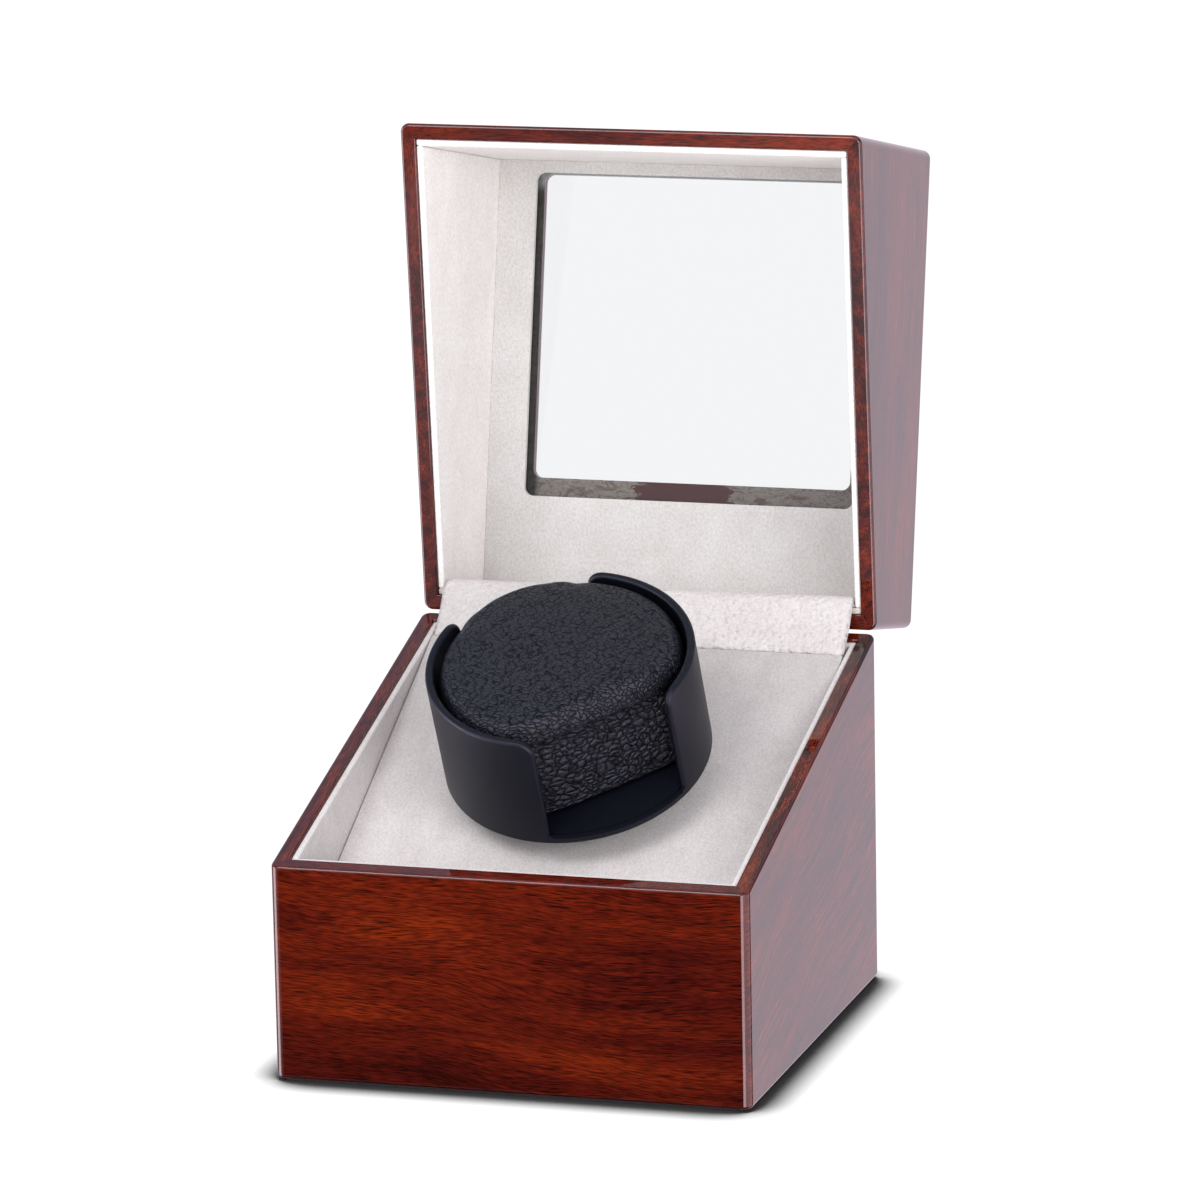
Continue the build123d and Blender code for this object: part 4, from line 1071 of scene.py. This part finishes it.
def buildWorld():
    # even soft light for matt surfaces, a striped studio for what polished faces reflect, white to the eye
    world = bpy.data.worlds.new("Studio")
    bpy.context.scene.world = world
    world.use_nodes = True
    tree = world.node_tree
    tree.nodes.clear()
    direction = addNode(tree, "TexCoord").outputs["Generated"]
    parts = addNode(tree, "SeparateXYZ", {"Vector": direction})
    ahead = addNode(tree, "Math", {0: parts.outputs["Y"], 1: -1.0}, operation="MULTIPLY").outputs[0]
    turn = addNode(tree, "Math", {0: parts.outputs["X"], 1: ahead}, operation="ARCTAN2").outputs[0]
    share = mapped(tree, turn, -pi, pi)
    stops = [((degrees + 180) / 360, shade) for degrees, shade in stage["around"]]
    around = addNode(tree, "ValToRGB", {"Fac": share}, ramp=stops).outputs["Color"]
    height = parts.outputs["Z"]
    upwards = mapped(tree, height, *stage["ceilingFrom"])
    level = mixColours(tree, upwards, around, toLinear(stage["ceiling"]))
    upper = mapped(tree, height, *stage["upperFront"])
    lower = mapped(tree, height, *stage["lowerFront"])
    either = addNode(tree, "Math", {0: upper, 1: lower}, operation="MAXIMUM").outputs[0]
    facing = mapped(tree, parts.outputs["Y"], *stage["facing"])
    front = addNode(tree, "Math", {0: either, 1: facing}, operation="MULTIPLY").outputs[0]
    deep = mapped(tree, height, *stage["deepFront"])
    front = addNode(tree, "Math", {0: front, 1: deep}, operation="MULTIPLY").outputs[0]
    level = mixColours(tree, front, level, toLinear(stage["front"]), "ADD")
    low = mapped(tree, height, *stage["ground"])  # the ground beside the box is in its shadow
    level = mixColours(tree, 1.0, level, greyOf(tree, low), "MULTIPLY")
    tint = toLinear(stage["worldTint"])
    mirrored = addNode(tree, "Background", {"Color": level, "Strength": stage["peak"]}).outputs[0]
    soft = addNode(tree, "Background", {"Color": tint, "Strength": stage["worldDiffuse"]}).outputs[0]
    seen = addNode(tree, "Background", {"Color": (1, 1, 1, 1), "Strength": 1.0}).outputs[0]
    path = addNode(tree, "LightPath").outputs
    mix = addNode(tree, "MixShader", {0: path["Is Glossy Ray"], 1: soft, 2: mirrored}).outputs[0]
    inputs = {0: path["Is Camera Ray"], 1: path["Is Transmission Ray"]}
    clear = addNode(tree, "Math", inputs, operation="MAXIMUM").outputs[0]
    mix = addNode(tree, "MixShader", {0: clear, 1: mix, 2: seen}).outputs[0]
    addNode(tree, "OutputWorld", {"Surface": mix})


def softbox(name, made):
    data = bpy.data.lights.new(name, "AREA")
    data.shape = "RECTANGLE"
    data.size, data.size_y = stage["boxSize"]
    data.energy = made["power"]
    light = bpy.data.objects.new(name, data)
    light.location = made["place"]
    light.rotation_mode = "QUATERNION"
    aim = Vector(made["target"]) - Vector(made["place"])
    light.rotation_quaternion = aim.to_track_quat("-Z", "Y")
    light.visible_glossy = made["glossy"]
    bpy.context.scene.collection.objects.link(light)


# Fitted to the corners of the box in the photograph
camera = {
    "place": (0.6456, -2.0928, 0.6370),
    "azimuth": 16.952,
    "elevation": 12.65,
    "roll": -1.093,
    "lens": 205.5,
    "shift": 0.0013,
    "sensor": 36.0,
    "clip": (0.05, 60.0),
}


def buildCamera():
    data = bpy.data.cameras.new("Camera")
    data.lens = camera["lens"]
    data.sensor_width = camera["sensor"]
    data.clip_start, data.clip_end = camera["clip"]
    data.shift_x = camera["shift"]
    az, el, roll = (radians(camera[k]) for k in ("azimuth", "elevation", "roll"))
    back = Vector((sin(az) * cos(el), -cos(az) * cos(el), sin(el)))
    right = (-back).cross(Vector((0, 0, 1))).normalized()
    up = right.cross(-back)
    turnedRight = cos(roll) * right + sin(roll) * up
    turnedUp = -sin(roll) * right + cos(roll) * up
    made = bpy.data.objects.new("Camera", data)
    axes = Matrix((turnedRight, turnedUp, back)).transposed().to_4x4()
    made.matrix_world = Matrix.Translation(camera["place"]) @ axes
    bpy.context.scene.collection.objects.link(made)
    bpy.context.scene.camera = made


buildFloor()
buildWorld()
softbox("KeySoftbox", stage["key"])
softbox("FillSoftbox", stage["fill"])
buildCamera()
bpy.context.scene.view_settings.view_transform = "Standard"
print("stage, lights and camera done")
